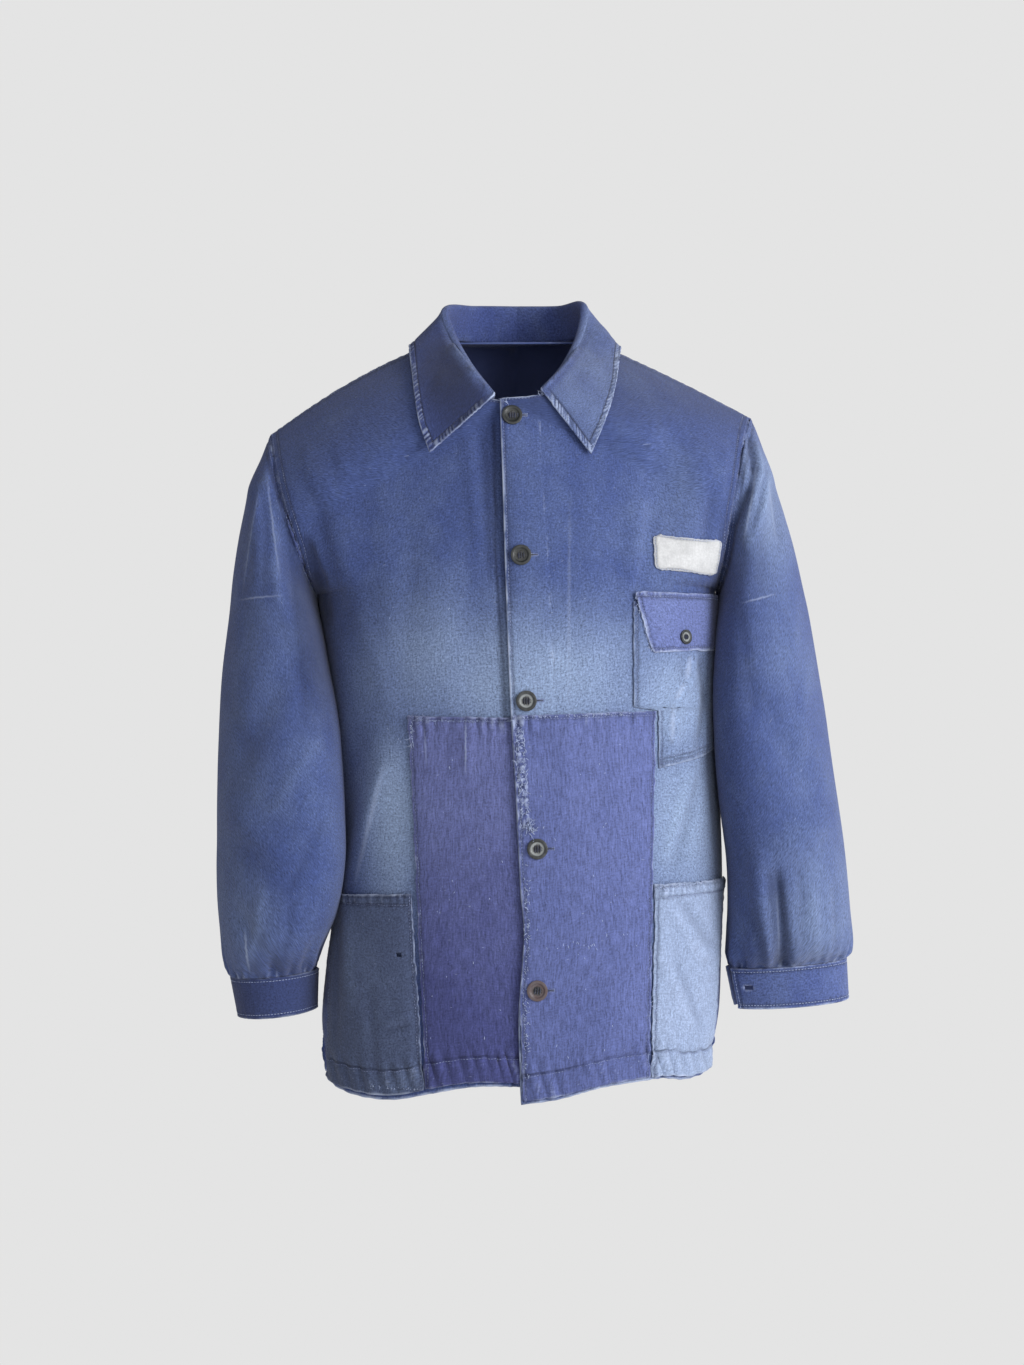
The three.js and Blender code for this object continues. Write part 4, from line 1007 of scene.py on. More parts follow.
def add_node(tree, kind, inputs=None, **settings):
    """A node with its settings, and each named input set to a value or linked to a socket."""
    node = tree.nodes.new(kind)
    for name, value in settings.items():
        setattr(node, name, value)
    for name, value in (inputs or {}).items():
        if isinstance(value, bpy.types.NodeSocket):
            tree.links.new(value, node.inputs[name])
        else:
            node.inputs[name].default_value = value
    return node


def new_material(name):
    """A material with its node tree and its shader."""
    material = bpy.data.materials.new(name)
    material.use_nodes = True
    tree = material.node_tree
    return material, tree, tree.nodes["Principled BSDF"]


def finish_shader(tree, shader, colour, roughness, height, strength, distance):
    """Links a shader's colour and roughness, and the relief of its surface."""
    tree.links.new(colour, shader.inputs["Base Color"])
    tree.links.new(roughness, shader.inputs["Roughness"])
    relief = add_node(tree, "ShaderNodeBump", {"Strength": strength, "Distance": distance, "Height": height})
    tree.links.new(relief.outputs[0], shader.inputs["Normal"])


def object_place(tree):
    return add_node(tree, "ShaderNodeTexCoord").outputs["Object"]


def value_of(tree, name):
    """A value set at the mesh's points."""
    return add_node(tree, "ShaderNodeAttribute", attribute_name=name).outputs["Fac"]


def in_three(tree, value):
    """A value as all three parts of a colour or vector."""
    return add_node(tree, "ShaderNodeCombineXYZ", {0: value, 1: value, 2: value}).outputs[0]


def calc(tree, operation, *values):
    node = add_node(tree, "ShaderNodeMath", dict(enumerate(values)), operation=operation)
    return node.outputs[0]


def blend_colours(tree, factor, first, second, blend_type="MIX"):
    node = add_node(tree, "ShaderNodeMix", data_type="RGBA", blend_type=blend_type)
    for index, value in ((0, factor), (6, first), (7, second)):
        if isinstance(value, bpy.types.NodeSocket):
            tree.links.new(value, node.inputs[index])
        else:
            node.inputs[index].default_value = value
    return node.outputs[2]


def rescale(tree, value, low, high, to_low=0.0, to_high=1.0):
    inputs = {"Value": value, "From Min": low, "From Max": high, "To Min": to_low, "To Max": to_high}
    return add_node(tree, "ShaderNodeMapRange", inputs).outputs["Result"]


def new_group(name, inputs, outputs):
    """A shader node group, the sockets that it is given and the sockets that it makes."""
    tree = bpy.data.node_groups.new(name, "ShaderNodeTree")
    kinds = {"colour": "NodeSocketColor", "value": "NodeSocketFloat", "vector": "NodeSocketVector"}
    for socket, kind in inputs.items():
        tree.interface.new_socket(socket, in_out="INPUT", socket_type=kinds[kind])
    for socket, kind in outputs.items():
        tree.interface.new_socket(socket, in_out="OUTPUT", socket_type=kinds[kind])
    return tree, tree.nodes.new("NodeGroupInput").outputs, tree.nodes.new("NodeGroupOutput").inputs


def noise_value(tree, vector, scale, stretch=(1, 1, 1), detail=3.0, roughness=0.6):
    """Noise in a vector that is stretched first."""
    mapped = add_node(tree, "ShaderNodeMapping", {"Vector": vector, "Scale": stretch})
    inputs = {"Vector": mapped.outputs[0], "Scale": scale, "Detail": detail, "Roughness": roughness}
    return add_node(tree, "ShaderNodeTexNoise", inputs).outputs["Fac"]


def weave_group():
    """Crossing yarns on a UV map in metres: their relief, and the streaks of thick and thin yarns."""
    tree, given, made = new_group(
        "Cotton yarns",
        {"Place": "vector", "Yarns per metre": "value"},
        {"Height": "value", "Streaks": "value", "Slubs": "value"},
    )
    place = given["Place"]
    split = add_node(tree, "ShaderNodeSeparateXYZ", {0: place})
    turns = calc(tree, "MULTIPLY", given["Yarns per metre"], math.tau)
    wobble = calc(tree, "MULTIPLY", noise_value(tree, place, 260.0), 2.5)
    warp = calc(tree, "SINE", calc(tree, "ADD", calc(tree, "MULTIPLY", split.outputs[0], turns), wobble))
    weft = calc(tree, "SINE", calc(tree, "ADD", calc(tree, "MULTIPLY", split.outputs[1], turns), wobble))
    crossing = calc(tree, "MULTIPLY", warp, weft)
    down = noise_value(tree, place, 1.0, (900, 120, 1))
    across = noise_value(tree, place, 1.0, (130, 800, 1))
    streaks = calc(tree, "ADD", calc(tree, "MULTIPLY", down, 0.6), calc(tree, "MULTIPLY", across, 0.4))
    slubs = noise_value(tree, place, 1.0, (170, 560, 1), detail=1.0)
    tree.links.new(calc(tree, "MULTIPLY_ADD", crossing, 0.35, streaks), made["Height"])
    tree.links.new(rescale(tree, streaks, 0.34, 0.66), made["Streaks"])
    tree.links.new(rescale(tree, slubs, 0.745, 0.8), made["Slubs"])
    return tree


def crease_group():
    """How near a place on the front is to a line between two points, seen from the front."""
    tree, given, made = new_group(
        "Crease line", {"Place": "vector", "From": "vector", "To": "vector", "Width": "value"},
        {"Mask": "value"},
    )

    def join(operation, *values):
        inputs = dict(enumerate(values))
        return add_node(tree, "ShaderNodeVectorMath", inputs, operation=operation).outputs

    ragged = add_node(tree, "ShaderNodeTexNoise", {"Vector": given["Place"], "Scale": 240.0})
    shifted = join("SUBTRACT", ragged.outputs["Color"], (0.5, 0.5, 0.5))[0]
    place = join("MULTIPLY_ADD", shifted, (0.0022, 0, 0.0022), given["Place"])[0]
    place = join("MULTIPLY", place, (1, 0, 1))[0]
    line = join("SUBTRACT", given["To"], given["From"])[0]
    away = join("SUBTRACT", place, given["From"])[0]
    dot, size = join("DOT_PRODUCT", away, line)["Value"], join("DOT_PRODUCT", line, line)["Value"]
    along = calc(tree, "MINIMUM", calc(tree, "MAXIMUM", calc(tree, "DIVIDE", dot, size), 0.0), 1.0)
    distance = join("DISTANCE", away, join("MULTIPLY", line, in_three(tree, along))[0])["Value"]
    near = calc(tree, "SUBTRACT", 1.0, calc(tree, "DIVIDE", distance, given["Width"]))
    depth = add_node(tree, "ShaderNodeSeparateXYZ", {0: given["Place"]}).outputs[1]
    in_front = calc(tree, "LESS_THAN", depth, 0.0)
    middle = calc(tree, "MULTIPLY", calc(tree, "MULTIPLY", along, calc(tree, "SUBTRACT", 1.0, along)), 4.0)
    near = calc(tree, "MULTIPLY", calc(tree, "MAXIMUM", near, 0.0), middle)
    tree.links.new(calc(tree, "MULTIPLY", near, in_front), made["Mask"])
    return tree


def worn_cotton_group(weave, crease):
    """Dyed cotton that has faded in places and worn pale on its edges and ridges, with the painted shade and
    painted highlights that its pieces carry.
    """
    tree, given, made = new_group(
        "Worn cotton",
        {
            "Dye": "colour", "Faded": "colour", "Worn": "colour", "Inside": "colour",
            "Yarns per metre": "value", "Streak": "value", "Mottle": "value", "Slubby": "value",
            "Grain": "value",
        },
        {"Color": "colour", "Roughness": "value", "Height": "value"},
    )
    uv = add_node(tree, "ShaderNodeUVMap", uv_map="cloth").outputs[0]
    position = object_place(tree)
    yarns = add_node(tree, "ShaderNodeGroup", node_tree=weave)
    tree.links.new(uv, yarns.inputs["Place"])
    tree.links.new(given["Yarns per metre"], yarns.inputs["Yarns per metre"])
    clouds = noise_value(tree, position, 11.0, (1, 1, 0.7), detail=5.0, roughness=0.62)
    patches = noise_value(tree, position, 46.0, (1, 1, 0.8), detail=4.0, roughness=0.7)
    uneven = calc(tree, "MULTIPLY", calc(tree, "SUBTRACT", clouds, 0.5), given["Mottle"])
    # The fade values hold real fading and painted highlights
    fade = calc(tree, "ADD", value_of(tree, "fade"), uneven)
    fade_edge = calc(tree, "MULTIPLY_ADD", calc(tree, "SUBTRACT", patches, 0.5), 0.22, fade)
    colour = blend_colours(tree, rescale(tree, fade_edge, 0, 1), given["Dye"], given["Faded"])
    streaked = calc(tree, "SUBTRACT", yarns.outputs["Streaks"], 0.5)
    shade = calc(tree, "MULTIPLY_ADD", streaked, given["Streak"], 1.0)
    thick_yarns = calc(tree, "SUBTRACT", noise_value(tree, uv, 1.0, (620, 75, 1), detail=3.0), 0.5)
    shade = calc(tree, "MULTIPLY_ADD", thick_yarns, given["Slubby"], shade)
    grain = calc(tree, "SUBTRACT", noise_value(tree, uv, 520.0, detail=2.0, roughness=0.8), 0.5)
    shade = calc(tree, "MULTIPLY_ADD", grain, given["Grain"], shade)
    colour = blend_colours(tree, 1.0, colour, in_three(tree, shade), "MULTIPLY")
    threadbare = calc(tree, "MULTIPLY_ADD", calc(tree, "SUBTRACT", patches, 0.5), 0.9, value_of(tree, "wear"))
    threadbare = calc(tree, "MULTIPLY_ADD", streaked, 0.25, threadbare)
    rubbed = rescale(tree, threadbare, 0.22, 0.95, 0, 0.92)
    colour = blend_colours(tree, rubbed, colour, given["Worn"])
    slubs = calc(tree, "MULTIPLY", yarns.outputs["Slubs"], 0.34)
    colour = blend_colours(tree, slubs, colour, given["Worn"])
    for x0, z0, x1, z1, width, strength in PALE_LINES:
        line = add_node(tree, "ShaderNodeGroup", node_tree=crease)
        tree.links.new(position, line.inputs["Place"])
        line.inputs["From"].default_value = (x0 * MM, 0, z0 * MM)
        line.inputs["To"].default_value = (x1 * MM, 0, z1 * MM)
        line.inputs["Width"].default_value = width * MM
        mask = calc(tree, "MULTIPLY", line.outputs["Mask"], strength)
        colour = blend_colours(tree, mask, colour, given["Worn"])
    # Painted shade from the dark values, which also hold the label's real stains, mixed towards near black
    shaded = calc(tree, "MULTIPLY", value_of(tree, "dark"), 0.72)
    colour = blend_colours(tree, shaded, colour, (0.008, 0.011, 0.03, 1))
    colour = blend_colours(tree, value_of(tree, "inside"), colour, given["Inside"])
    tree.links.new(colour, made["Color"])
    tree.links.new(rescale(tree, streaked, -0.5, 0.5, 0.82, 0.97), made["Roughness"])
    wrinkles = noise_value(tree, position, 70.0, (1, 1, 0.6), detail=3.0, roughness=0.55)
    tree.links.new(calc(tree, "MULTIPLY_ADD", wrinkles, 3.0, yarns.outputs["Height"]), made["Height"])
    return tree


def cotton(name, dye, faded, worn, inside, yarns=1050.0, streak=0.45, mottle=0.5, slubby=0.3, grain=2.2):
    """A cotton material of those colours."""
    material, tree, shader = new_material(name)
    shader.inputs["Specular IOR Level"].default_value = 0.22
    shader.inputs["Sheen Weight"].default_value = 0.12
    shader.inputs["Sheen Roughness"].default_value = 0.55
    colours_given = {"Dye": dye, "Faded": faded, "Worn": worn, "Inside": inside}
    inputs = {socket: (*colour, 1) for socket, colour in colours_given.items()}
    inputs |= {"Yarns per metre": yarns, "Streak": streak, "Mottle": mottle}
    inputs |= {"Slubby": slubby, "Grain": grain}
    group = add_node(tree, "ShaderNodeGroup", node_tree=bpy.data.node_groups["Worn cotton"])
    for socket, value in inputs.items():
        group.inputs[socket].default_value = value
    outputs = group.outputs
    finish_shader(tree, shader, outputs["Color"], outputs["Roughness"], outputs["Height"], 0.6, 0.0005)
    return material


def thread_material(name, colour, light):
    """Sewing thread with a fine twist, and paler where it is rubbed."""
    material, tree, shader = new_material(name)
    shader.inputs["Sheen Weight"].default_value = 0.2
    position = object_place(tree)
    rubbed = rescale(tree, noise_value(tree, position, 90.0), 0.35, 0.7)
    mixed = blend_colours(tree, rubbed, (*colour, 1), (*light, 1))
    twist = noise_value(tree, position, 2600.0, detail=1.0)
    finish_shader(tree, shader, mixed, rescale(tree, twist, 0.3, 0.7, 0.7, 0.95), twist, 0.4, 0.0001)
    return material


def button_material(name, colour, light, centre, clouds):
    """Pressed plastic with faint cloudy marbling, whose centre is duller than its rim, and painted shade in
    its holes.
    """
    material, tree, shader = new_material(name)
    shader.inputs["Coat Weight"].default_value = 0.15
    position = object_place(tree)
    marbling = rescale(tree, noise_value(tree, position, 160.0, detail=4.0), 0.42, 0.68)
    pressed = blend_colours(tree, value_of(tree, "rim"), (*centre, 1), (*colour, 1))
    marbled = blend_colours(tree, calc(tree, "MULTIPLY", marbling, clouds), pressed, (*light, 1))
    # Painted shade: the lower walls of the holes go near black
    marbled = blend_colours(tree, value_of(tree, "hole"), marbled, (0.004, 0.004, 0.005, 1))
    scuffs = noise_value(tree, position, 700.0, detail=3.0)
    finish_shader(tree, shader, marbled, rescale(tree, scuffs, 0.3, 0.7, 0.32, 0.55), scuffs, 0.15, 0.0002)
    return material


def stage_material(name, colour):
    """Matt paint or paper with a faint unevenness."""
    material, tree, shader = new_material(name)
    shader.inputs["Roughness"].default_value = 0.95
    position = object_place(tree)
    uneven = rescale(tree, noise_value(tree, position, 5.0), 0.3, 0.7, 0.97, 1.03)
    painted = blend_colours(tree, 1.0, (*colour, 1), in_three(tree, uneven), "MULTIPLY")
    tree.links.new(painted, shader.inputs["Base Color"])
    return material


# Settings


def colour_setting(name, description, code):
    return FloatVectorProperty(
        name=name, description=description, default=tone(code), size=3, min=0, max=1, subtype="COLOR"
    )


def number_setting(name, description, default, low, high, **kind):
    return FloatProperty(name=name, description=description, default=default, min=low, max=high, **kind)


METRES = {"subtype": "DISTANCE", "unit": "LENGTH"}


class JacketColours(bpy.types.PropertyGroup):
    body: colour_setting("Body", "Dye of the fronts, back and sleeves", "3b4a7a")
    # Also the colour of the painted highlights on the body cloth, the collar and the cuffs
    body_faded: colour_setting("Faded body", "Body cloth bleached by sun and washing", "8496b4")
    patch_dark: colour_setting("Right patch", "Violet blue of the patch on the wearer's right", "3e4374")
    patch_light: colour_setting("Left patch", "Violet blue of the patch on the wearer's left", "505a8b")
    # Also the colour of the painted highlights on the patches
    patch_faded: colour_setting("Faded patches", "Patch cloth where it has faded", "7f89bb")
    pocket_dark: colour_setting("Right hip pocket", "Grey blue of the wearer's right pocket", "46516f")
    pocket_pale: colour_setting("Left hip pocket", "Bleached blue of the wearer's left pocket", "8594b2")
    collar: colour_setting("Collar", "Dye of the collar", "384577")
    cuff: colour_setting("Cuffs", "Dye of the cuffs", "3f4d80")
    flap: colour_setting("Flap", "Dye of the chest pocket's flap", "5a6595")
    worn: colour_setting("Threadbare", "Cotton whose dye has rubbed off", "aebad6")
    inside: colour_setting("Inside", "Wrong side of the body cloth", "3d4875")
    label: colour_setting("Label", "Worn off-white label cloth", "bfc0c2")
    thread: colour_setting("Thread", "Sewing thread", "46507e")
    thread_dark: colour_setting("Dark thread", "Navy thread of the collar and buttons", "1e2540")
    thread_light: colour_setting("Rubbed thread", "Sewing thread where it is rubbed", "93a1c8")
    button_dark: colour_setting("Dark buttons", "Green black of the upper buttons", "101414")
    button_grey: colour_setting("Grey buttons", "Worn centre of the grey buttons", "7d8182")
    button_brown: colour_setting("Brown button", "The lowest button", "4a3b3c")
    button_sheen: colour_setting("Button clouds", "Pale clouds in the buttons", "5d6168")
    backdrop: colour_setting("Backdrop", "Pale floor and surroundings", "e6e6e6")


class JacketSizes(bpy.types.PropertyGroup):
    stitch_pitch: number_setting("Stitch pitch", "From one stitch to the next, in millimetres", 2.9, 1, 8)
    stitch_length: number_setting("Stitch length", "Length of a stitch, in millimetres", 2.1, 0.5, 8)
    hem_depth: number_setting("Hem depth", "Height of the turned-up hem, in millimetres", 22, 5, 60)
    button_radius: number_setting(
        "Button radius", "Radius of the front buttons", 0.009, 0.004, 0.02, **METRES
    )
    small_button_radius: number_setting(
        "Small button radius", "Radius of the flap's and cuffs' buttons", 0.0065, 0.004, 0.02, **METRES
    )


class JacketStage(bpy.types.PropertyGroup):
    floor_height: number_setting(
        "Floor height", "Height of the floor, with the neck opening at 0", -1.42, -10, 0, **METRES
    )
    floor_radius: number_setting("Floor radius", "Radius of the round floor", 1.25, 0.5, 10, **METRES)
    key_power: number_setting(
        "Key light", "Power of the soft light at the viewer's right", 38, 0, 1000, unit="POWER"
    )
    fill_power: number_setting("Fill light", "Power of the soft light in front", 6, 0, 1000, unit="POWER")
    surround: number_setting("Surround", "Brightness of the pale surroundings", 0.98, 0, 10)
    light_near: number_setting("Window side", "Light of the room from the viewer's right", 2.0, 0, 10)
    light_above: number_setting("Above", "Share of the room's light that comes from above", 0.2, 0, 1)
    light_far: number_setting("Far side", "Light of the room from the viewer's left", 0.62, 0, 10)


def colours():
    return bpy.context.scene.jacket_colours


def sizes():
    return bpy.context.scene.jacket_sizes


# Grids of the pieces


def spread(count, crowd=0.07):
    """Values from 0 to 1 that lie closer together near both ends."""
    t = np.linspace(0, 1, count)
    return t - crowd * np.sin(2 * np.pi * t)


def panel_rows(below, above):
    """Rows of a panel from the hem to the shoulder, with one at the armpit and one at the neck."""
    low = mix(0, ARMPIT_ROW, np.linspace(0, 1, below + 1) ** 1.08)
    middle = np.linspace(ARMPIT_ROW, FRONT_NECK_ROW, above // 2 + 1)[1:]
    high = np.linspace(FRONT_NECK_ROW, 1, above // 2 + 1)[1:]
    return np.concatenate([low, middle, high])


def paint_fold_shade_and_highlight(cloth, folds):
    """Painted shade in the troughs of sharp folds, and painted highlights on their ridges."""
    cloth.darken(0.6 * np.clip(-folds / 4, 0, 1))
    cloth.fade = cloth.fade + 0.16 * np.clip(folds / 3, 0, 1)


def panel_seams(cloth, name, seed):
    """Felled seams at a panel's side and shoulder, which pucker and press flat."""
    cloth.seam(name, 7, pucker=0.55, pitch=9, groove=0.4, seed=seed, wear=0.3)
    cloth.seam("top", 6, pucker=0.45, pitch=10, groove=0.35, seed=seed + 1, wear=0.35)


def hem(cloth, depth, seed):
    """A turned hem that has roped in the wash, with painted shade in its troughs and along its fold."""
    wave = puckers(cloth.x + 0.3 * cloth.bottom, 11.5, seed)
    above = np.maximum(cloth.bottom - depth, 0)
    near = bump(above, 7) * mix(0.55, 1.0, ramp(cloth.bottom / depth))
    groove = bump(cloth.bottom - depth, 1.5)
    cloth.raise_by(0.5 * ramp((depth - cloth.bottom) / 2) + 1.7 * wave * near - 0.8 * groove)
    below = ramp((depth - cloth.bottom) / 2)
    cloth.rub(0.26 * np.clip(wave, 0, 1) * below)
    # Painted shade in the troughs of the hem and along its fold
    cloth.darken(0.35 * np.clip(-wave, 0, 1) * near)
    cloth.darken(0.85 * bump(cloth.bottom - depth, 1.1))


def front_cloth(side):
    """A front with its hem, seams, placket, fading and folds, with painted shade in its creases, under the
    arm and along the armhole, and painted highlights on its fold ridges.
    """
    us, vs = spread(124 if side == "left" else 104), panel_rows(132, 70)
    u, v = np.meshgrid(us, vs)
    cloth = Cloth(panel_point(side, FRONT, u, v), outward(side))
    hem(cloth, sizes().hem_depth, HEM_SEED)
    panel_seams(cloth, "end", 41 + outward(side))
    cloth.seam("start", 3.0, pucker=0.3, pitch=8, groove=0.35, seed=51, wear=0.5)
    below_neck = v < FRONT_NECK_ROW
    placket = bump(cloth.start - PLACKET[side], 1.5) * below_neck
    wave = puckers(cloth.bottom, 13, 57) * bump(cloth.start - PLACKET[side], 9) * below_neck
    facing = ramp((PLACKET[side] - cloth.start) / 2) * below_neck
    cloth.raise_by(0.3 * facing - 0.3 * placket + 0.2 * wave)
    cloth.rub(0.3 * placket * (side == "left"))
    # Painted shade along the right front's placket groove
    cloth.darken(0.9 * placket * (side == "right"))
    # Painted shade under the arm and along the armhole
    armpit_shade = ramp((np.abs(cloth.x) - 150) / 32) * ramp((-226 - cloth.z) / 16) * ramp((cloth.z + 520) / 60)
    armhole_shade = bump(cloth.end, 8) * ramp((-120 - cloth.z) / 60) * (v > ARMPIT_ROW)
    cloth.darken(np.maximum(0.5 * armpit_shade, 0.45 * armhole_shade))
    if side == "left":
        above_flap = bump(cloth.z + 235, 9) * ramp((cloth.x - 112) / 12) * ramp((184 - cloth.x) / 8)
        cloth.raise_by(0.8 * puckers(cloth.x, 8.5, 59) * above_flap)
        # Painted shade on the left shoulder and the top of the left front
        cloth.darken(0.34 * ramp((cloth.z + 100) / 40))
    else:
        # Painted shade on the right front under the hole in the hip pocket
        cloth.darken(bump(cloth.away_from(POCKET_HOLE), 5))
    cloth.worn_edge(1.4, 0.95, "start", "bottom", seed=61)
    cloth.worn_edge(3.5, 0.45, "end", seed=62)
    cloth.bleach("body")
    paint_fold_shade_and_highlight(cloth, fold_height("body", FRONT, cloth.x, cloth.z, 6))
    # Painted shade beside the armhole where the sleeve meets the body
    cloth.darken(0.85 * fold_height(side + " deep", FRONT, cloth.x, cloth.z))
    return cloth


def back_cloth():
    """The back, from the right side seam to the left, with its hem, seams and fading, and painted shade and
    highlights on its folds.
    """
    half = spread(60, 0.04)
    w = np.concatenate([-half[::-1], half[1:]])
    u, v = np.meshgrid(np.abs(w), panel_rows(122, 60))
    right, left = panel_point("right", BACK, u, v), panel_point("left", BACK, u, v)
    cloth = Cloth(np.where((w < 0)[None, :, None], right, left), -1)
    hem(cloth, sizes().hem_depth, 71)
    panel_seams(cloth, "end", 73)
    cloth.seam("start", 7, pucker=0.55, pitch=8, groove=0.3, seed=75, wear=0.4)
    cloth.worn_edge(2.2, 0.9, "bottom", seed=77)
    cloth.worn_edge(3.0, 0.4, "start", "end", seed=78)
    cloth.bleach("body")
    paint_fold_shade_and_highlight(cloth, fold_height("body", BACK, cloth.x, cloth.z, 6))
    return cloth


def body_cloud():
    """A search tree of points of the fronts and the back, with the points and their normals."""
    cloths = [CLOTHS[name] for name in ("front_right", "front_left", "back")]
    places = np.concatenate([cloth.points[::3, ::3].reshape(-1, 3) for cloth in cloths])
    normals = np.concatenate([cloth.normals[::3, ::3].reshape(-1, 3) for cloth in cloths])
    tree = KDTree(len(places))
    for index, place in enumerate(places):
        tree.insert(place, index)
    tree.balance()
    return tree, places, normals


def sleeve_cloth(side, near):
    """A sleeve clear of the body, gathered into its cuff, with painted shade at the armpit, in its pleats and
    on its folds, painted highlights on its fold ridges, and its fading.
    """
    turns = np.linspace(0, 1, 177)
    head_rows, arm_rows, cuff_rows = (
        np.linspace(low, high, count) for low, high, count in ((0, 0.12, 20), (0.12, 0.86, 76), (0.86, 1, 36))
    )
    ts = np.concatenate([head_rows, arm_rows[1:], cuff_rows[1:]])
    turn, t = np.meshgrid(turns % 1.0, ts)
    points = sleeve_point(side, turn, t)
    inner = ramp(0.6 - np.cos(turn * 2 * np.pi) * 1.2) * ramp(t / 0.08)
    tuck = SLEEVE_TUCK[side] * inner * bump(t - 0.13, 0.12)
    points = points + np.stack([-outward(side) * tuck, -0.6 * tuck, 0 * tuck], axis=-1)
    clear = stand_off(points, near, SLEEVE_CLEARANCE[side])
    apart = unit(np.array([outward(side), 0, -0.22]))
    gap = SEAM_GAP + np.where(t < 0.01, 0, 0.4)
    points = mix(clear, points, 1 - inner[..., None]) + apart * gap[..., None]
    cloth = Cloth(points, outward(side), closed=True)
    face = np.where(cloth.points[..., 1] < 3, FRONT, BACK)
    head = fold_height(side + " head", face, cloth.x, cloth.z) * ramp(t / 0.02)
    cloth.raise_by(head)
    cloth.seam("bottom", 6, pucker=0.5, pitch=8, groove=0.4, seed=81, wear=0.35)
    around = 2 * np.pi * (turns[None, :] + 0 * t)
    pleats = np.sin(33 * around + 1.6 * np.sin(2 * around + 1) + 1.1 * np.sin(5 * around))
    pleats = pleats * (0.62 + 0.38 * np.sin(7 * around + 2))
    coarse = np.sin(14 * around + 1.3 * np.sin(3 * around))
    at_cuff = ramp(cloth.top / 3 + 0.2)
    cloth.raise_by((1.1 * pleats * bump(cloth.top, 14) + 1.5 * coarse * bump(cloth.top - 8, 30)) * at_cuff)
    cloth.rub(0.55 * np.clip(pleats, 0, 1) * bump(cloth.top, 8))
    # Painted shade in the troughs of the pleats above the cuff
    cloth.darken(0.6 * np.clip(-pleats, 0, 1) * bump(cloth.top, 5))
    # Painted shade along the armhole seam, low on the sleeve
    cloth.darken(0.6 * bump(cloth.bottom, 11) * ramp((-125 - cloth.z) / 60))
    if side == "right":
        # Painted shade in the hollow where the right sleeve meets the body
        crease = np.interp(cloth.z, (-330, -213, -126), (-196, -209, -221))
        hollow_shade = ramp((cloth.x - crease) / 10) * ramp((-126 - cloth.z) / 30) * ramp((cloth.z + 390) / 90)
        cloth.darken(0.68 * hollow_shade * (face == FRONT))
    cloth.worn_edge(3.0, 0.35, "bottom", seed=85)
    cloth.bleach(side)
    paint_fold_shade_and_highlight(cloth, head + fold_height(side, face, cloth.x, cloth.z, 6) * ramp(t / 0.06))
    return cloth


def cuff_cloth(side):
    """A cuff with its edges stitched. The left one shows its buttonhole and has a little painted light, and
    the right one is darkened all over with painted shade.
    """
    q, h = np.meshgrid(np.linspace(0, 1, 170), spread(24, 0.1))
    cloth = Cloth(cuff_point(side, q, h), -outward(side))
    cloth.raise_by(0.5 * crumple(cloth.start, cloth.bottom, 91))
    for name, seed in (("bottom", 93), ("top", 94)):
        cloth.seam(name, 3, pucker=0.35, pitch=7, groove=0.3, seed=seed, wear=0.25)
    for name, seed in (("start", 95), ("end", 96)):
        cloth.seam(name, 5, pucker=0.3, pitch=6, groove=0.45, seed=seed, wear=0.4)
    cloth.worn_edge(1.1, 0.8, "bottom", "start", "end", seed=97)
    cloth.worn_edge(1.0, 0.5, "top", seed=98)
    if side == "right":
        # Painted shade over all of the right cuff
        cloth.dark[:] = 0.66
    else:
        # Painted light over all of the left cuff
        cloth.fade = cloth.fade + 0.08
        across, up = cloth.end - CUFF_SLIT[0], h - CUFF_SLIT[1]
        cloth.hole = (np.abs(across) < 4.2) & (np.abs(up) < 0.03)
        cloth.rub(0.8 * bump(np.hypot(across / 2.2, up * 34), 3.0))
    return cloth


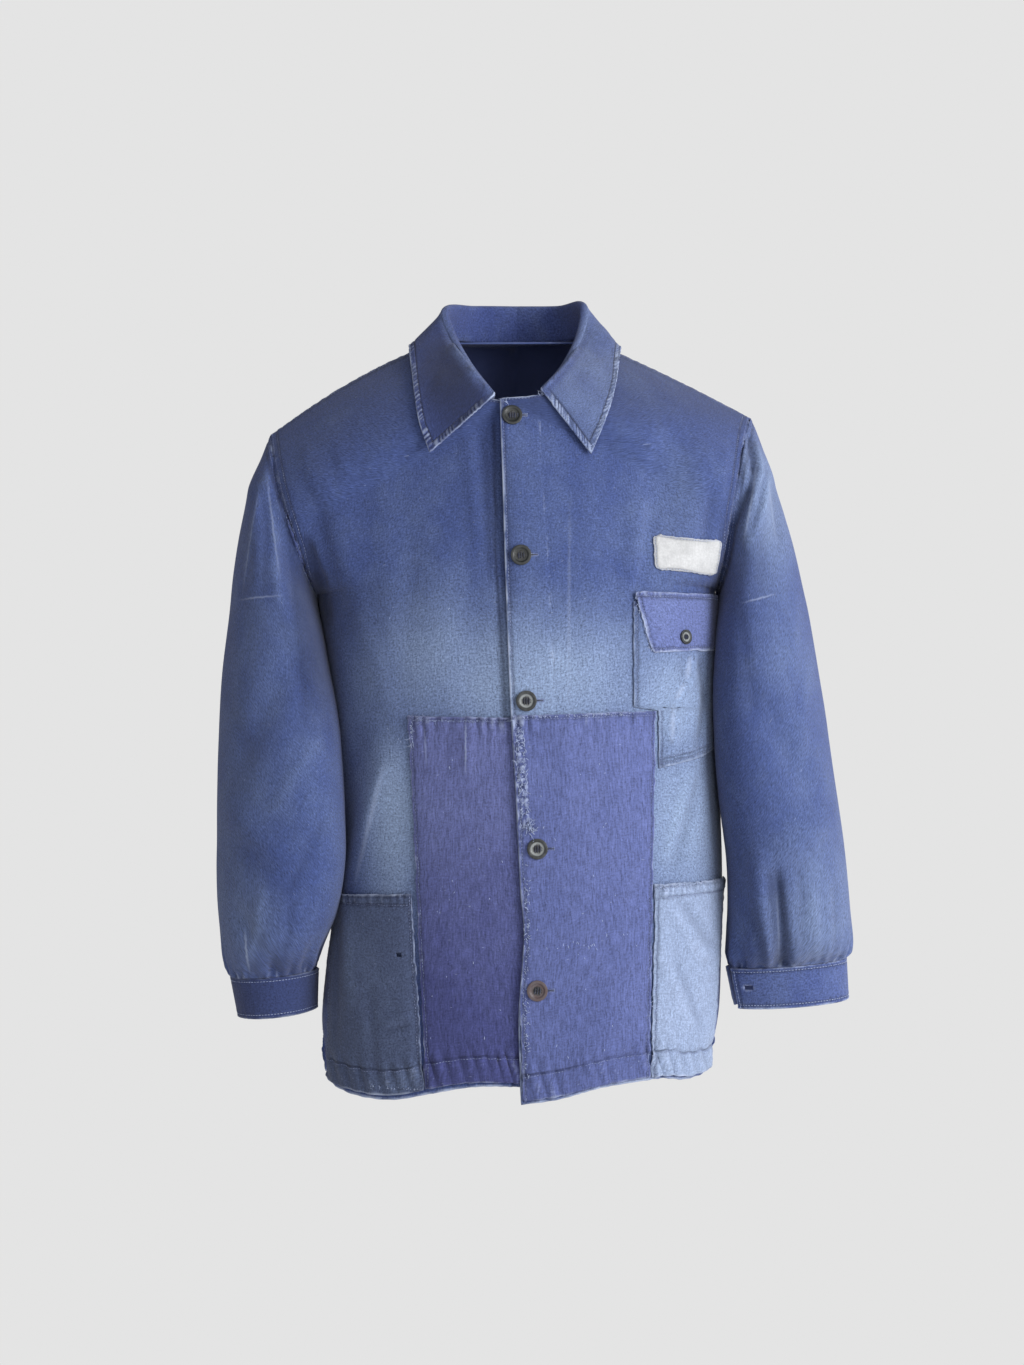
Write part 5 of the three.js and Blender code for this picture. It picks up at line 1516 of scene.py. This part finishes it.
def collar_cloth(near):
    """The collar with its stitched, puckered edges, with painted light on the wearer's left half and painted
    shade on the wearer's right half.
    """
    half = 1 - (1 - np.linspace(0, 1, 172)) ** 1.15
    w = np.concatenate([-half[::-1], half[1:]])
    ts = np.concatenate([
        np.linspace(0, COLLAR_STAND_TURN, 9), np.linspace(COLLAR_STAND_TURN, COLLAR_ROLL_TURN, 10)[1:],
        COLLAR_ROLL_TURN + (1 - COLLAR_ROLL_TURN) * (1 - (1 - np.linspace(0, 1, 88)[1:]) ** 1.15),
    ])
    s, t = np.meshgrid(np.abs(w), ts)
    right, left = collar_point("right", s, t, near), collar_point("left", s, t, near)
    points = np.where((w < 0)[None, :, None], right, left)
    loose = (ramp((t - COLLAR_ROLL_TURN) / 0.06) * (t < 1))[1:-1, 1:-1, None]
    for _ in range(60):
        around = points[:-2, 1:-1] + points[2:, 1:-1] + points[1:-1, :-2] + points[1:-1, 2:]
        points[1:-1, 1:-1] = mix(points[1:-1, 1:-1], around / 4, 0.9 * loose)
    cloth = Cloth(points, 1)
    fall = ramp((t - COLLAR_ROLL_TURN) / 0.1)
    ends = np.minimum(cloth.start, cloth.end)
    edge = np.minimum(cloth.top, ends)
    wave = np.where(ends < cloth.top, puckers(cloth.bottom, 4.8, 103), puckers(cloth.start, 4.8, 101))
    band = ramp((COLLAR_STITCH - edge) / 1.2) * fall
    groove = bump(edge - COLLAR_STITCH, 1.0) * fall
    soft = 1.3 * crumple(cloth.start * 1.5, cloth.top * 1.5, 105) * ramp(edge / 14)
    cloth.raise_by(0.6 * wave * band - 0.5 * groove + soft * fall)
    cloth.rub(0.62 * (0.2 + np.clip(wave, 0, 1)) * band)
    # Painted shade in the pucker troughs and along the stitched groove
    cloth.darken(0.8 * np.clip(-wave, 0, 1) * band * ramp(edge / 1.2))
    cloth.darken(0.95 * bump(edge - COLLAR_STITCH, 1.3) * fall)
    cloth.worn_edge(0.8, 0.7, "top", "start", "end", seed=107)
    cloth.lighten(0.25 * bump(t - COLLAR_ROLL_TURN * 0.95, 0.08))
    # Painted light on the fall of the wearer's left half, and painted shade on the fall of the wearer's right
    # half
    cloth.lighten(0.32 * ramp((w[None, :] - 0.3) / 0.5) * fall)
    cloth.darken(0.9 * ramp((-0.3 - w[None, :]) / 0.5) * fall * ramp((1.1 - t) / 0.4))
    return cloth


def overlay_cloth(name, across, steps, ragged=0.4, seed=0, rounded=0.0):
    """A piece that lies on a front, whose points are the front's own, with slightly uneven edges."""
    side, stations = PLACES[name]
    stations = np.array(stations, float)
    lines = [stations[:1]]
    for low, high, count in zip(stations, stations[1:], steps):
        lines.append(mix(low, high, np.linspace(0, 1, count + 1)[1:, None, None]))
    near, far = np.moveaxis(np.concatenate(lines), 1, 0)
    rows = np.arange(len(near))
    near[:, 0] += ragged * noise(rows / 2.2, 0, seed)
    far[:, 0] += ragged * noise(rows / 2.2, 7, seed)
    if rounded:
        across_line, up_line = far - near, near[-1] - near[0]
        away = np.linspace(0, np.linalg.norm(up_line), len(near))
        away = np.minimum(away, away[-1] - away)
        cut = rounded - np.sqrt(np.maximum(rounded**2 - np.maximum(rounded - away, 0) ** 2, 0))
        step = unit(across_line) * cut[:, None]
        near, far = near + step, far - step
    u0, v0 = find_on_front(side, near[:, 0], near[:, 1])
    u1, v1 = find_on_front(side, far[:, 0], far[:, 1])
    k = spread(across, 0.09)[None, :]
    u, v = mix(u0[:, None], u1[:, None], k), mix(v0[:, None], v1[:, None], k)
    v[0] += 0.0009 * ragged * noise(np.arange(across) / 2.5, 3, seed)
    v[-1] += 0.0009 * ragged * noise(np.arange(across) / 2.5, 5, seed)
    cloth = Cloth(panel_point(side, FRONT, u, v), outward(side))
    # Painted shade and highlights on the folds of the front beneath
    paint_fold_shade_and_highlight(cloth, fold_height("body", FRONT, cloth.x, cloth.z, 6))
    return cloth


def press_edges(cloth, line, pucker, pitch, seed, names=ALL_EDGES, puff=0.5):
    """Stitched edges that pucker, with the cloth between them standing a little proud."""
    distance = cloth.edge(*names)
    cloth.raise_by(puff * ramp(distance / 12) - 0.25 * bump(distance, 1.2))
    for n, name in enumerate(names):
        cloth.seam(name, line, pucker=pucker, pitch=pitch, groove=0.45, seed=seed + n, wear=0.4)
    cloth.worn_edge(0.8, 0.62, *names, seed=seed + 9)


def rub_front_edge(cloth):
    """Rubs the left patch through along the front edge, most above the fourth button, with painted shade in
    its pits and in a tear.
    """
    torn = ramp((cloth.z + 452) / 10)
    width = mix(6.5, 11.0, torn)
    band = ramp((width - cloth.start) / 2.5)
    pits = noise(cloth.x / 2.0, cloth.z / 2.6, 191)
    strength = mix(0.45, 1.0, torn) * band
    cloth.raise_by(0.7 * pits * strength)
    cloth.rub(0.95 * np.clip(pits + 0.15, 0, 1) * strength)
    # Painted shade in the pits
    cloth.darken(0.95 * np.clip(-pits, 0, 1) * strength)
    # A dent with painted shade for a tear
    tear = bump(np.hypot((cloth.x - 9) / 1.6, cloth.z + 443), 4.5)
    cloth.raise_by(-0.8 * tear)
    cloth.darken(0.9 * tear)


def work_patch(name, cloth, n):
    """Presses, puckers and wears a large patch, and gives its rows of stitches."""
    press_edges(cloth, 2.6, 0.35, 9, 130 + 10 * n, names=("start", "end"))
    cloth.seam("top", 3, pucker=1.15, pitch=11.5, groove=0.5, seed=160 + n, wear=0.4, reach=17)
    cloth.worn_edge(0.8, 0.5, "top", "bottom", seed=165 + n)
    top_fade = 0.3 if name == "patch_right" else 0.1
    cloth.lighten(top_fade * ramp((cloth.z + 640) / 260))
    if name == "patch_left":
        rub_front_edge(cloth)
    return [("start", 3), ("end", 3), ("top", 3.5), ("bottom", 20)]


def work_hip_pocket(name, cloth, n):
    """Presses and wears a hip pocket with its turned mouth, and gives its rows of stitches."""
    press_edges(cloth, 3, 0.4, 8, 130 + 10 * n, names=("start", "end"), puff=0.9)
    band = 9.0 if name == "hip_pocket_right" else 11.0
    cloth.raise_by(0.5 * ramp((band - cloth.top) / 2))
    cloth.seam("top", band, pucker=0.9, pitch=6.2, groove=0.6, seed=140 + n, wear=0.6, reach=3)
    cloth.seam("top", 1.5, pucker=0.6, pitch=6.2, groove=0, seed=140 + n, wear=0.6, reach=5)
    cloth.worn_edge(1.0, 0.8, "top", "bottom", seed=150 + n)
    if name == "hip_pocket_right":
        cloth.hole = cloth.away_from(POCKET_HOLE) < 1.3
    return [("start", 2.5), ("end", 2.5), ("top", band), ("bottom", 20)]


# Operators, one for each piece or group


class PieceOperator:
    """What the operators that build pieces share."""

    bl_options = {"REGISTER", "UNDO"}


class JACKET_OT_materials(PieceOperator, bpy.types.Operator):
    """Make the cotton, thread, label and button materials"""

    bl_idname = "jacket.materials"
    bl_label = "Materials"

    def execute(self, context):
        c = colours()
        worn, inside = c.worn, c.inside
        worn_cotton_group(weave_group(), crease_group())
        cotton("Body cotton", c.body, c.body_faded, worn, inside)
        for name, dye in (("Right patch cotton", c.patch_dark), ("Left patch cotton", c.patch_light)):
            cotton(name, dye, c.patch_faded, worn, inside, mottle=0.3, slubby=1.5, grain=1.3)
        cotton("Dark pocket cotton", c.pocket_dark, c.body_faded, worn, inside)
        cotton("Pale pocket cotton", c.pocket_pale, worn, worn, inside, slubby=0.6, grain=1.5)
        cotton("Collar cotton", c.collar, c.body_faded, worn, inside, mottle=0.6)
        cotton("Cuff cotton", c.cuff, c.body_faded, worn, inside, mottle=0.4)
        cotton("Flap cotton", c.flap, c.pocket_pale, worn, inside)
        cotton(
            "Label cloth", c.label, c.backdrop, worn, c.label, yarns=1800, streak=0.1, mottle=0.3, slubby=0.2,
            grain=0.5,
        )
        thread_material("Blue thread", c.thread, c.thread_light)
        thread_material("Pale thread", c.thread_light, c.worn)
        thread_material("Dark thread", c.thread_dark, c.button_dark)
        button_material("Dark button", c.button_dark, c.button_sheen, c.button_dark, 0.14)
        button_material("Grey button", c.button_dark, c.button_sheen, c.button_grey, 0.3)
        button_material("Brown button", c.button_brown, c.button_sheen, c.button_brown, 0.3)
        return {"FINISHED"}


class JACKET_OT_body(PieceOperator, bpy.types.Operator):
    """Build the two fronts and the back"""

    bl_idname = "jacket.body"
    bl_label = "Fronts and back"

    def execute(self, context):
        depth = sizes().hem_depth
        above_vent = (0.03, 1)
        front_seams = [
            ("bottom", depth, (0.02, 0.99)), ("end", 2, above_vent), ("end", 7, above_vent), ("top", 2),
        ]
        shoulders = ((0, 0.42), (0.58, 1))
        lines = {
            "front_right": [("start", 3.5, (0, 0.93)), *front_seams],
            "front_left": [("start", 2.5, (0, 0.93)), *front_seams],
            "back": [
                ("bottom", depth, (0.01, 0.99)),
                *((edge, line, above_vent) for edge in ("start", "end") for line in (2, 7)),
                *(("top", line, shoulder) for line in (2, 7) for shoulder in shoulders),
            ],
        }
        cuts = {
            "front_right": {"flat": (0.28, 0.76), "area": 0.169},
            "front_left": {"flat": (0.26, 0.78), "area": 0.162},
            "back": {"flat": (0.5, 0.8), "area": 0.328},
        }
        CLOTHS.update(front_right=front_cloth("right"), front_left=front_cloth("left"), back=back_cloth())
        for name, cut in cuts.items():
            thickness = mix(HEM_CLOTH, BODY_CLOTH, ramp((CLOTHS[name].z + 660) / 14))
            lay_piece(
                name, "Body cotton", "body_cotton", "Blue thread", lines[name], thickness, held="hung", **cut
            )
        return {"FINISHED"}


class JACKET_OT_sleeves(PieceOperator, bpy.types.Operator):
    """Build the sleeves and the cuffs they are gathered into"""

    bl_idname = "jacket.sleeves"
    bl_label = "Sleeves and cuffs"

    def execute(self, context):
        near = body_cloud()
        for side, width in (("right", 0.43), ("left", 0.46)):
            sleeve, cuff = "sleeve_" + side, "cuff_" + side
            CLOTHS[sleeve] = sleeve_cloth(side, near)
            lay_piece(
                sleeve, "Body cotton", "body_cotton", "Blue thread", [("bottom", 3)], BODY_CLOTH,
                flat=(width, 0.51), area=0.157, held="hung", rests_on=["front_" + side, "back"],
            )
            CLOTHS[cuff] = cuff_cloth(side)
            lines = [("bottom", 3), ("top", 2.5), ("end", 3), ("start", 3)]
            lay_piece(
                cuff, "Cuff cotton", "cuff_cotton", "Pale thread", lines, CUFF_CLOTH, CUFF_RISE,
                flat=(0.264, 0.037), held="gathered", rests_on=[sleeve],
            )
        return {"FINISHED"}


class JACKET_OT_collar(PieceOperator, bpy.types.Operator):
    """Build the fold-over collar"""

    bl_idname = "jacket.collar"
    bl_label = "Collar"

    def execute(self, context):
        CLOTHS["collar"] = collar_cloth(body_cloud())
        line = COLLAR_STITCH
        lines = [("top", line, (0.02, 0.98)), ("start", line, (0.5, 0.95)), ("end", line, (0.5, 0.95))]
        lay_piece(
            "collar", "Collar cotton", "collar_cotton", "Dark thread", lines, COLLAR_CLOTH, COLLAR_CLOTH / 2,
            flat=(0.59, 0.1), area=0.0443, held="folded", rests_on=["front_right", "front_left", "back"],
        )
        return {"FINISHED"}


class JACKET_OT_patches(PieceOperator, bpy.types.Operator):
    """Build the large patches and the patch pockets on the lower fronts"""

    bl_idname = "jacket.patches"
    bl_label = "Patches and hip pockets"

    def execute(self, context):
        pieces = {
            "patch_right": (72, "Right patch cotton", "patch_cotton", (0.10, 0.32)),
            "patch_left": (80, "Left patch cotton", "patch_cotton", (0.12, 0.33)),
            "hip_pocket_right": (60, "Dark pocket cotton", "pocket_cotton_dark", (0.112, 0.182)),
            "hip_pocket_left": (52, "Pale pocket cotton", "pocket_cotton_pale", (0.097, 0.18)),
        }
        for n, (name, (across, material, slot, flat)) in enumerate(pieces.items()):
            if name.startswith("hip"):
                rows, thickness, work = 84, POCKET_CLOTH, work_hip_pocket
            else:
                rows, thickness, work = 150, PATCH_CLOTH, work_patch
            cloth = CLOTHS[name] = overlay_cloth(name, across, [rows], ragged=0.7, seed=120 + n)
            hem(cloth, sizes().hem_depth, HEM_SEED)
            lines = work(name, cloth, n)
            lay_piece(
                name, material, slot, "Blue thread", lines, thickness, RISES[name], flat=flat, held="laid",
                rests_on=["front_" + PLACES[name][0]],
            )
        return {"FINISHED"}


class JACKET_OT_chest_pocket(PieceOperator, bpy.types.Operator):
    """Build the chest pocket, its flap and the bare label above it"""

    bl_idname = "jacket.chest_pocket"
    bl_label = "Chest pocket and label"

    def pocket(self):
        cloth = CLOTHS["chest_pocket"] = overlay_cloth("chest_pocket", 54, [26, 3, 50], ragged=0.5, seed=170)
        press_edges(cloth, 3, 0.3, 6, 180, puff=0.4)
        cloth.seam("bottom", 7, pucker=0.7, pitch=8.5, groove=0.4, seed=176, wear=0.3, reach=13)
        cloth.bleach("body")
        # Painted shadow of the left sleeve on the pocket's far side
        cloth.darken(0.66 * ramp((cloth.x - 162) / 16))

    def flap(self):
        cloth = CLOTHS["chest_flap"] = overlay_cloth("chest_flap", 60, [34], ragged=0.5, seed=171)
        press_edges(cloth, 3, 0.3, 6, 190, puff=0.4)
        # Painted shadow of the left sleeve on the flap's far side
        cloth.darken(0.74 * ramp((cloth.x - 165) / 8))
        cloth.worn_edge(1.5, 0.95, "start", "bottom", seed=178)
        cloth.seam("top", 5, pucker=0.3, pitch=7, groove=0.6, seed=177, wear=0.55, reach=2)

    def label(self):
        cloth = CLOTHS["label"] = overlay_cloth("label", 60, [26], ragged=0.5, seed=172, rounded=4.0)
        press_edges(cloth, 1.8, 0.15, 6, 200, puff=0.4)
        stains = np.clip(noise(cloth.x / 6.5, cloth.z / 4.5, 187), 0, 1)
        cloth.raise_by(0.35 * crumple(cloth.x * 2.6, cloth.z * 2.6, 188))
        cloth.darken(0.2 * stains)

    def execute(self, context):
        self.pocket()
        self.flap()
        self.label()
        above_step, below_step = (0.37, 1), (0, 0.33)
        lines = {
            "chest_pocket": [
                ("start", 2.5, below_step), ("start", 2.5, above_step), ("end", 2.5), ("bottom", 3),
                ("bottom", 8),
            ],
            "chest_flap": [(edge, 3) for edge in ALL_EDGES],
            "label": [(edge, 1.8) for edge in ALL_EDGES],
        }
        pieces = {
            "chest_pocket": ("Body cotton", "body_cotton", "Blue thread", POCKET_CLOTH, (0.104, 0.15)),
            "chest_flap": ("Flap cotton", "body_cotton", "Blue thread", POCKET_CLOTH, (0.101, 0.055)),
            "label": ("Label cloth", "label_cloth", "Pale thread", LABEL_CLOTH, (0.067, 0.034)),
        }
        for name, (material, slot, thread, thickness, flat) in pieces.items():
            lay_piece(
                name, material, slot, thread, lines[name], thickness, RISES[name], flat=flat, held="laid",
                rests_on=["front_left"],
            )
        return {"FINISHED"}


def front_facing(x, z):
    """The point of the left front at x and z, with its outward normal and its upward direction."""
    u, v = find_on_front("left", x, z)
    point = panel_point("left", FRONT, u, v)
    up = panel_point("left", FRONT, u, v + 0.01) - panel_point("left", FRONT, u, v - 0.01)
    across = panel_point("left", FRONT, u + 0.03, v) - point
    return point, unit(np.cross(across, up)), unit(up)


def sewn_button(name, radius, material, point, normal, up):
    """A dished button with a rim and four holes, laid on the cloth and sewn on through them."""
    bpy.ops.object.select_all(action="DESELECT")
    bpy.ops.mesh.primitive_cylinder_add(
        vertices=40, radius=radius, depth=BUTTON_THICKNESS, location=(0, 0, BUTTON_THICKNESS / 2)
    )
    button = bpy.context.object
    button.name = name
    bpy.ops.object.mode_set(mode="EDIT")
    bpy.ops.mesh.select_all(action="DESELECT")
    bpy.ops.object.mode_set(mode="OBJECT")
    for face in button.data.polygons:
        face.select = face.normal.z > 0.9
    bpy.ops.object.mode_set(mode="EDIT")
    bpy.ops.mesh.select_mode(type="FACE")
    bpy.ops.mesh.inset(thickness=radius * RIM_WIDTH)
    bpy.ops.mesh.inset(thickness=radius * SLOPE_WIDTH, depth=-0.001)
    bpy.ops.object.mode_set(mode="OBJECT")
    for x, y in ((1, 1), (1, -1), (-1, 1), (-1, -1)):
        at = (x * radius * HOLE_PLACE, y * radius * HOLE_PLACE, 0)
        bpy.ops.mesh.primitive_cylinder_add(vertices=12, radius=radius * HOLE_SIZE, depth=0.02, location=at)
        drill = bpy.context.object
        cut = button.modifiers.new("Hole", "BOOLEAN")
        cut.object = drill
        bpy.context.view_layer.objects.active = button
        bpy.ops.object.modifier_apply(modifier=cut.name)
        bpy.data.objects.remove(drill)
    edge = button.modifiers.new("Rounded", "BEVEL")
    edge.width = 0.0003
    edge.segments = 2
    edge.angle_limit = math.radians(40)
    bpy.context.view_layer.objects.active = button
    bpy.ops.object.modifier_apply(modifier=edge.name)
    bpy.ops.object.select_all(action="DESELECT")
    button.select_set(True)
    bpy.ops.object.shade_smooth_by_angle(angle=math.radians(35))
    across = np.cross(up, normal)
    turn = Matrix(np.stack([across, up, normal], axis=1))
    button.matrix_world = Matrix.Translation(point * MM) @ turn.to_4x4()
    bpy.ops.object.transform_apply(location=True, rotation=True, scale=True)
    hole = radius * HOLE_PLACE / MM
    threads = [[point + across * x * hole + normal * 1.85, up * hole * 2.3, normal] for x in (1, -1)]
    sewing = thread_mesh(name + "_thread", threads, radius=0.16, sink=2.4)
    under = [[point + across * x * hole + normal * 0.2, up * hole * 3.0, normal] for x in (-1, 0, 1)]
    shank = thread_mesh(name + "_shank", under, radius=1.0, sink=0)
    places = np.array([vertex.co[:] for vertex in button.data.vertices]) / MM - point
    away = np.linalg.norm(places, axis=1) * MM / radius
    # Painted shade marks the lower walls of the holes
    hole_shade = (away < 0.42) & (places @ normal < 1.8)
    set_values(button.data, {"rim": ramp((away - 0.6) / 0.12), "hole": hole_shade})
    finish_piece(button, bpy.data.materials[material], BUTTON_SLOTS[material], name.replace("_disc", ""))
    for thread in (sewing, shank):
        finish_piece(thread, bpy.data.materials["Dark thread"], "body_cotton")


def buttonhole(name, carrier, start, end):
    """A slit of dark thread as painted shade in the opening, with close stitches on both of its sides and a
    bar at its end.
    """
    count = 14
    at = np.linspace(0, 1, count)
    x, z = mix(start[0], end[0], at), mix(start[1], end[1], at)
    places, normals = on_cloth(carrier, x, z)
    along = unit(np.array([end[0] - start[0], 0.0, end[1] - start[1]]))
    across = np.cross(normals, along)
    sewn = [np.stack([places + across * side * 0.95, across * 1.5, normals], axis=1) for side in (1, -1)]
    bar = [[places[-1] + along * 0.5, across[-1] * 3.0, normals[-1]]]
    edges = thread_mesh(name, np.concatenate([*sewn, bar]), radius=0.3)
    finish_piece(edges, bpy.data.materials["Blue thread"], "body_cotton")
    # A strip of dark thread as painted shade in the slit
    middle = places[count // 2] + normals[0] * 0.1
    slit = thread_mesh(name + "_slit", [[middle, places[-1] - places[0], normals[count // 2]]], radius=0.5)
    finish_piece(slit, bpy.data.materials["Dark thread"], "body_cotton")


class JACKET_OT_buttons(PieceOperator, bpy.types.Operator):
    """Build the front, flap and cuff buttons and the buttonholes"""

    bl_idname = "jacket.buttons"
    bl_label = "Buttons and buttonholes"

    def execute(self, context):
        big, small = sizes().button_radius, sizes().small_button_radius
        for n, (x, z) in enumerate(FRONT_BUTTONS):
            carrier = "patch_left" if n >= PATCH_TOP_BUTTON else "front_left"
            buttonhole(f"buttonhole_{n + 1}", carrier, (x + 3, z), (x + 14.5, z + 0.4))
            point, normal, up = front_facing(x, z)
            height = SEAM_GAP + 0.3 + (PATCH_RISE if n >= PATCH_TOP_BUTTON else 0)
            point = point + normal * height
            sewn_button(f"button_{n + 1}_disc", big, FRONT_BUTTON_MATERIALS[n], point, normal, up)
        x, z = FLAP_BUTTON
        buttonhole("flap_buttonhole", "chest_flap", (x - 0.5, z + 2), (x - 1.5, z + 12))
        point, normal, up = front_facing(*FLAP_BUTTON)
        point = point + normal * (FLAP_RISE + SEAM_GAP + 0.4)
        sewn_button("flap_button_disc", small, "Grey button", point, normal, up)
        for side, q in (("right", 0.975), ("left", 0.06)):
            point = cuff_point(side, q, 0.5)
            along = cuff_point(side, q + 0.01, 0.5) - cuff_point(side, q - 0.01, 0.5)
            up = np.array([0.0, 0.0, 1.0])
            normal = unit(np.cross(along, up * -outward(side)))
            point = point + normal * (SEAM_GAP + 0.25)
            sewn_button(f"cuff_button_{side}_disc", small, "Dark button", point, normal, up)
        return {"FINISHED"}


class JACKET_OT_frays(PieceOperator, bpy.types.Operator):
    """Build the frayed threads and the knots in the yarns"""

    bl_idname = "jacket.frays"
    bl_label = "Frays"

    def execute(self, context):
        pale, blue = bpy.data.materials["Pale thread"], bpy.data.materials["Blue thread"]
        rng = np.random.default_rng(7)
        for n, (name, x0, z0, x1, z1, width, heading, count, length) in enumerate(FRAYS):
            at = rng.random(count)
            x = mix(x0, x1, at) + rng.uniform(-width, width, count)
            z = mix(z0, z1, at) + rng.uniform(-width, width, count) * 0.6
            places, normals = on_cloth(name, x, z)
            headings = unit(np.array(heading) + rng.normal(0, 0.55, (count, 3)))
            threads = loose_threads(f"frays_{n + 1}", places, headings, normals, length, 200 + n)
            finish_piece(threads, blue if n % 4 == 3 else pale, "body_cotton")
        for n, (name, x0, x1, z0, z1, count) in enumerate(KNOTS):
            x, z = rng.uniform(x0, x1, count), rng.uniform(z0, z1, count)
            places, normals = on_cloth(name, x, z)
            along = unit(np.array([0.0, 0.0, 1.0]) + rng.normal(0, 0.35, (count, 3)))
            along = along * rng.uniform(1.2, 3.4, (count, 1))
            knots = thread_mesh(f"knots_{n + 1}", np.stack([places, along, normals], axis=1), radius=0.24)
            finish_piece(knots, pale, "body_cotton")
        return {"FINISHED"}


class JACKET_OT_stage(bpy.types.Operator):
    """Build the floor, the lights and the camera"""

    bl_idname = "jacket.stage"
    bl_label = "Stage"

    def execute(self, context):
        stage = context.scene.jacket_stage
        bpy.ops.object.select_all(action="DESELECT")
        bpy.ops.mesh.primitive_circle_add(
            vertices=96, radius=stage.floor_radius, fill_type="NGON", location=(0, 0, stage.floor_height)
        )
        floor = context.object
        floor.name = "floor"
        floor.data.materials.append(stage_material("Pale floor", colours().backdrop))
        bpy.ops.object.transform_apply(location=True)
        world = bpy.data.worlds.new("Pale room")
        world.use_nodes = True
        tree = world.node_tree
        background = tree.nodes["Background"]
        background.inputs["Color"].default_value = (*colours().backdrop, 1)
        heading = add_node(tree, "ShaderNodeTexCoord").outputs["Generated"]
        across = add_node(tree, "ShaderNodeSeparateXYZ", {0: heading}).outputs
        light = rescale(tree, across[0], -0.9, 0.9, stage.light_far, stage.light_near)
        light = calc(tree, "MULTIPLY", light, rescale(tree, across[2], -0.1, 0.9, 1.0, stage.light_above))
        seen = add_node(tree, "ShaderNodeLightPath").outputs["Is Camera Ray"]
        strength = add_node(tree, "ShaderNodeMix", {0: seen, 2: light, 3: stage.surround}).outputs[0]
        tree.links.new(strength, background.inputs["Strength"])
        context.scene.world = world
        lights = (
            ("key_light", (1.5, -1.3, 0.15), stage.key_power, 0.9),
            ("fill_light", (0.3, -2.6, 0.9), stage.fill_power, 1.6),
        )
        for name, place, power, size in lights:
            bpy.ops.object.light_add(type="AREA", location=place)
            light = context.object
            light.name = name
            light.data.energy = power
            light.data.size = size
            aim = Vector((0, 0, -0.3)) - Vector(place)
            light.rotation_euler = aim.to_track_quat("-Z", "Y").to_euler()
        bpy.ops.object.camera_add(location=CAMERA_PLACE, rotation=(math.pi / 2, 0, 0))
        camera = context.object
        camera.data.sensor_width = CAMERA_SENSOR
        camera.data.lens = CAMERA_SENSOR * CAMERA_REACH
        context.scene.camera = camera
        context.scene.view_settings.view_transform = "Standard"
        return {"FINISHED"}


class JACKET_PT_panel(bpy.types.Panel):
    """Builds the jacket piece by piece"""

    bl_label = "Worn Work Jacket"
    bl_idname = "JACKET_PT_panel"
    bl_space_type = "VIEW_3D"
    bl_region_type = "UI"
    bl_category = "Jacket"

    def draw(self, context):
        for operator in OPERATORS:
            self.layout.operator(operator.bl_idname)
        for settings in ("jacket_colours", "jacket_sizes", "jacket_stage"):
            group = getattr(context.scene, settings)
            box = self.layout.box()
            for name in group.__annotations__:
                box.prop(group, name)


OPERATORS = (
    JACKET_OT_stage, JACKET_OT_materials, JACKET_OT_body, JACKET_OT_sleeves, JACKET_OT_collar,
    JACKET_OT_patches, JACKET_OT_chest_pocket, JACKET_OT_buttons, JACKET_OT_frays,
)
SETTINGS = {"jacket_colours": JacketColours, "jacket_sizes": JacketSizes, "jacket_stage": JacketStage}
CLASSES = (*SETTINGS.values(), *OPERATORS, JACKET_PT_panel)


def register():
    for item in CLASSES:
        bpy.utils.register_class(item)
    for name, group in SETTINGS.items():
        setattr(bpy.types.Scene, name, PointerProperty(type=group))


def unregister():
    for name in SETTINGS:
        delattr(bpy.types.Scene, name)
    for item in reversed(CLASSES):
        bpy.utils.unregister_class(item)


def main():
    register()
    for operator in OPERATORS:
        group, name = operator.bl_idname.split(".")
        getattr(getattr(bpy.ops, group), name)()


if __name__ == "__main__":
    main()
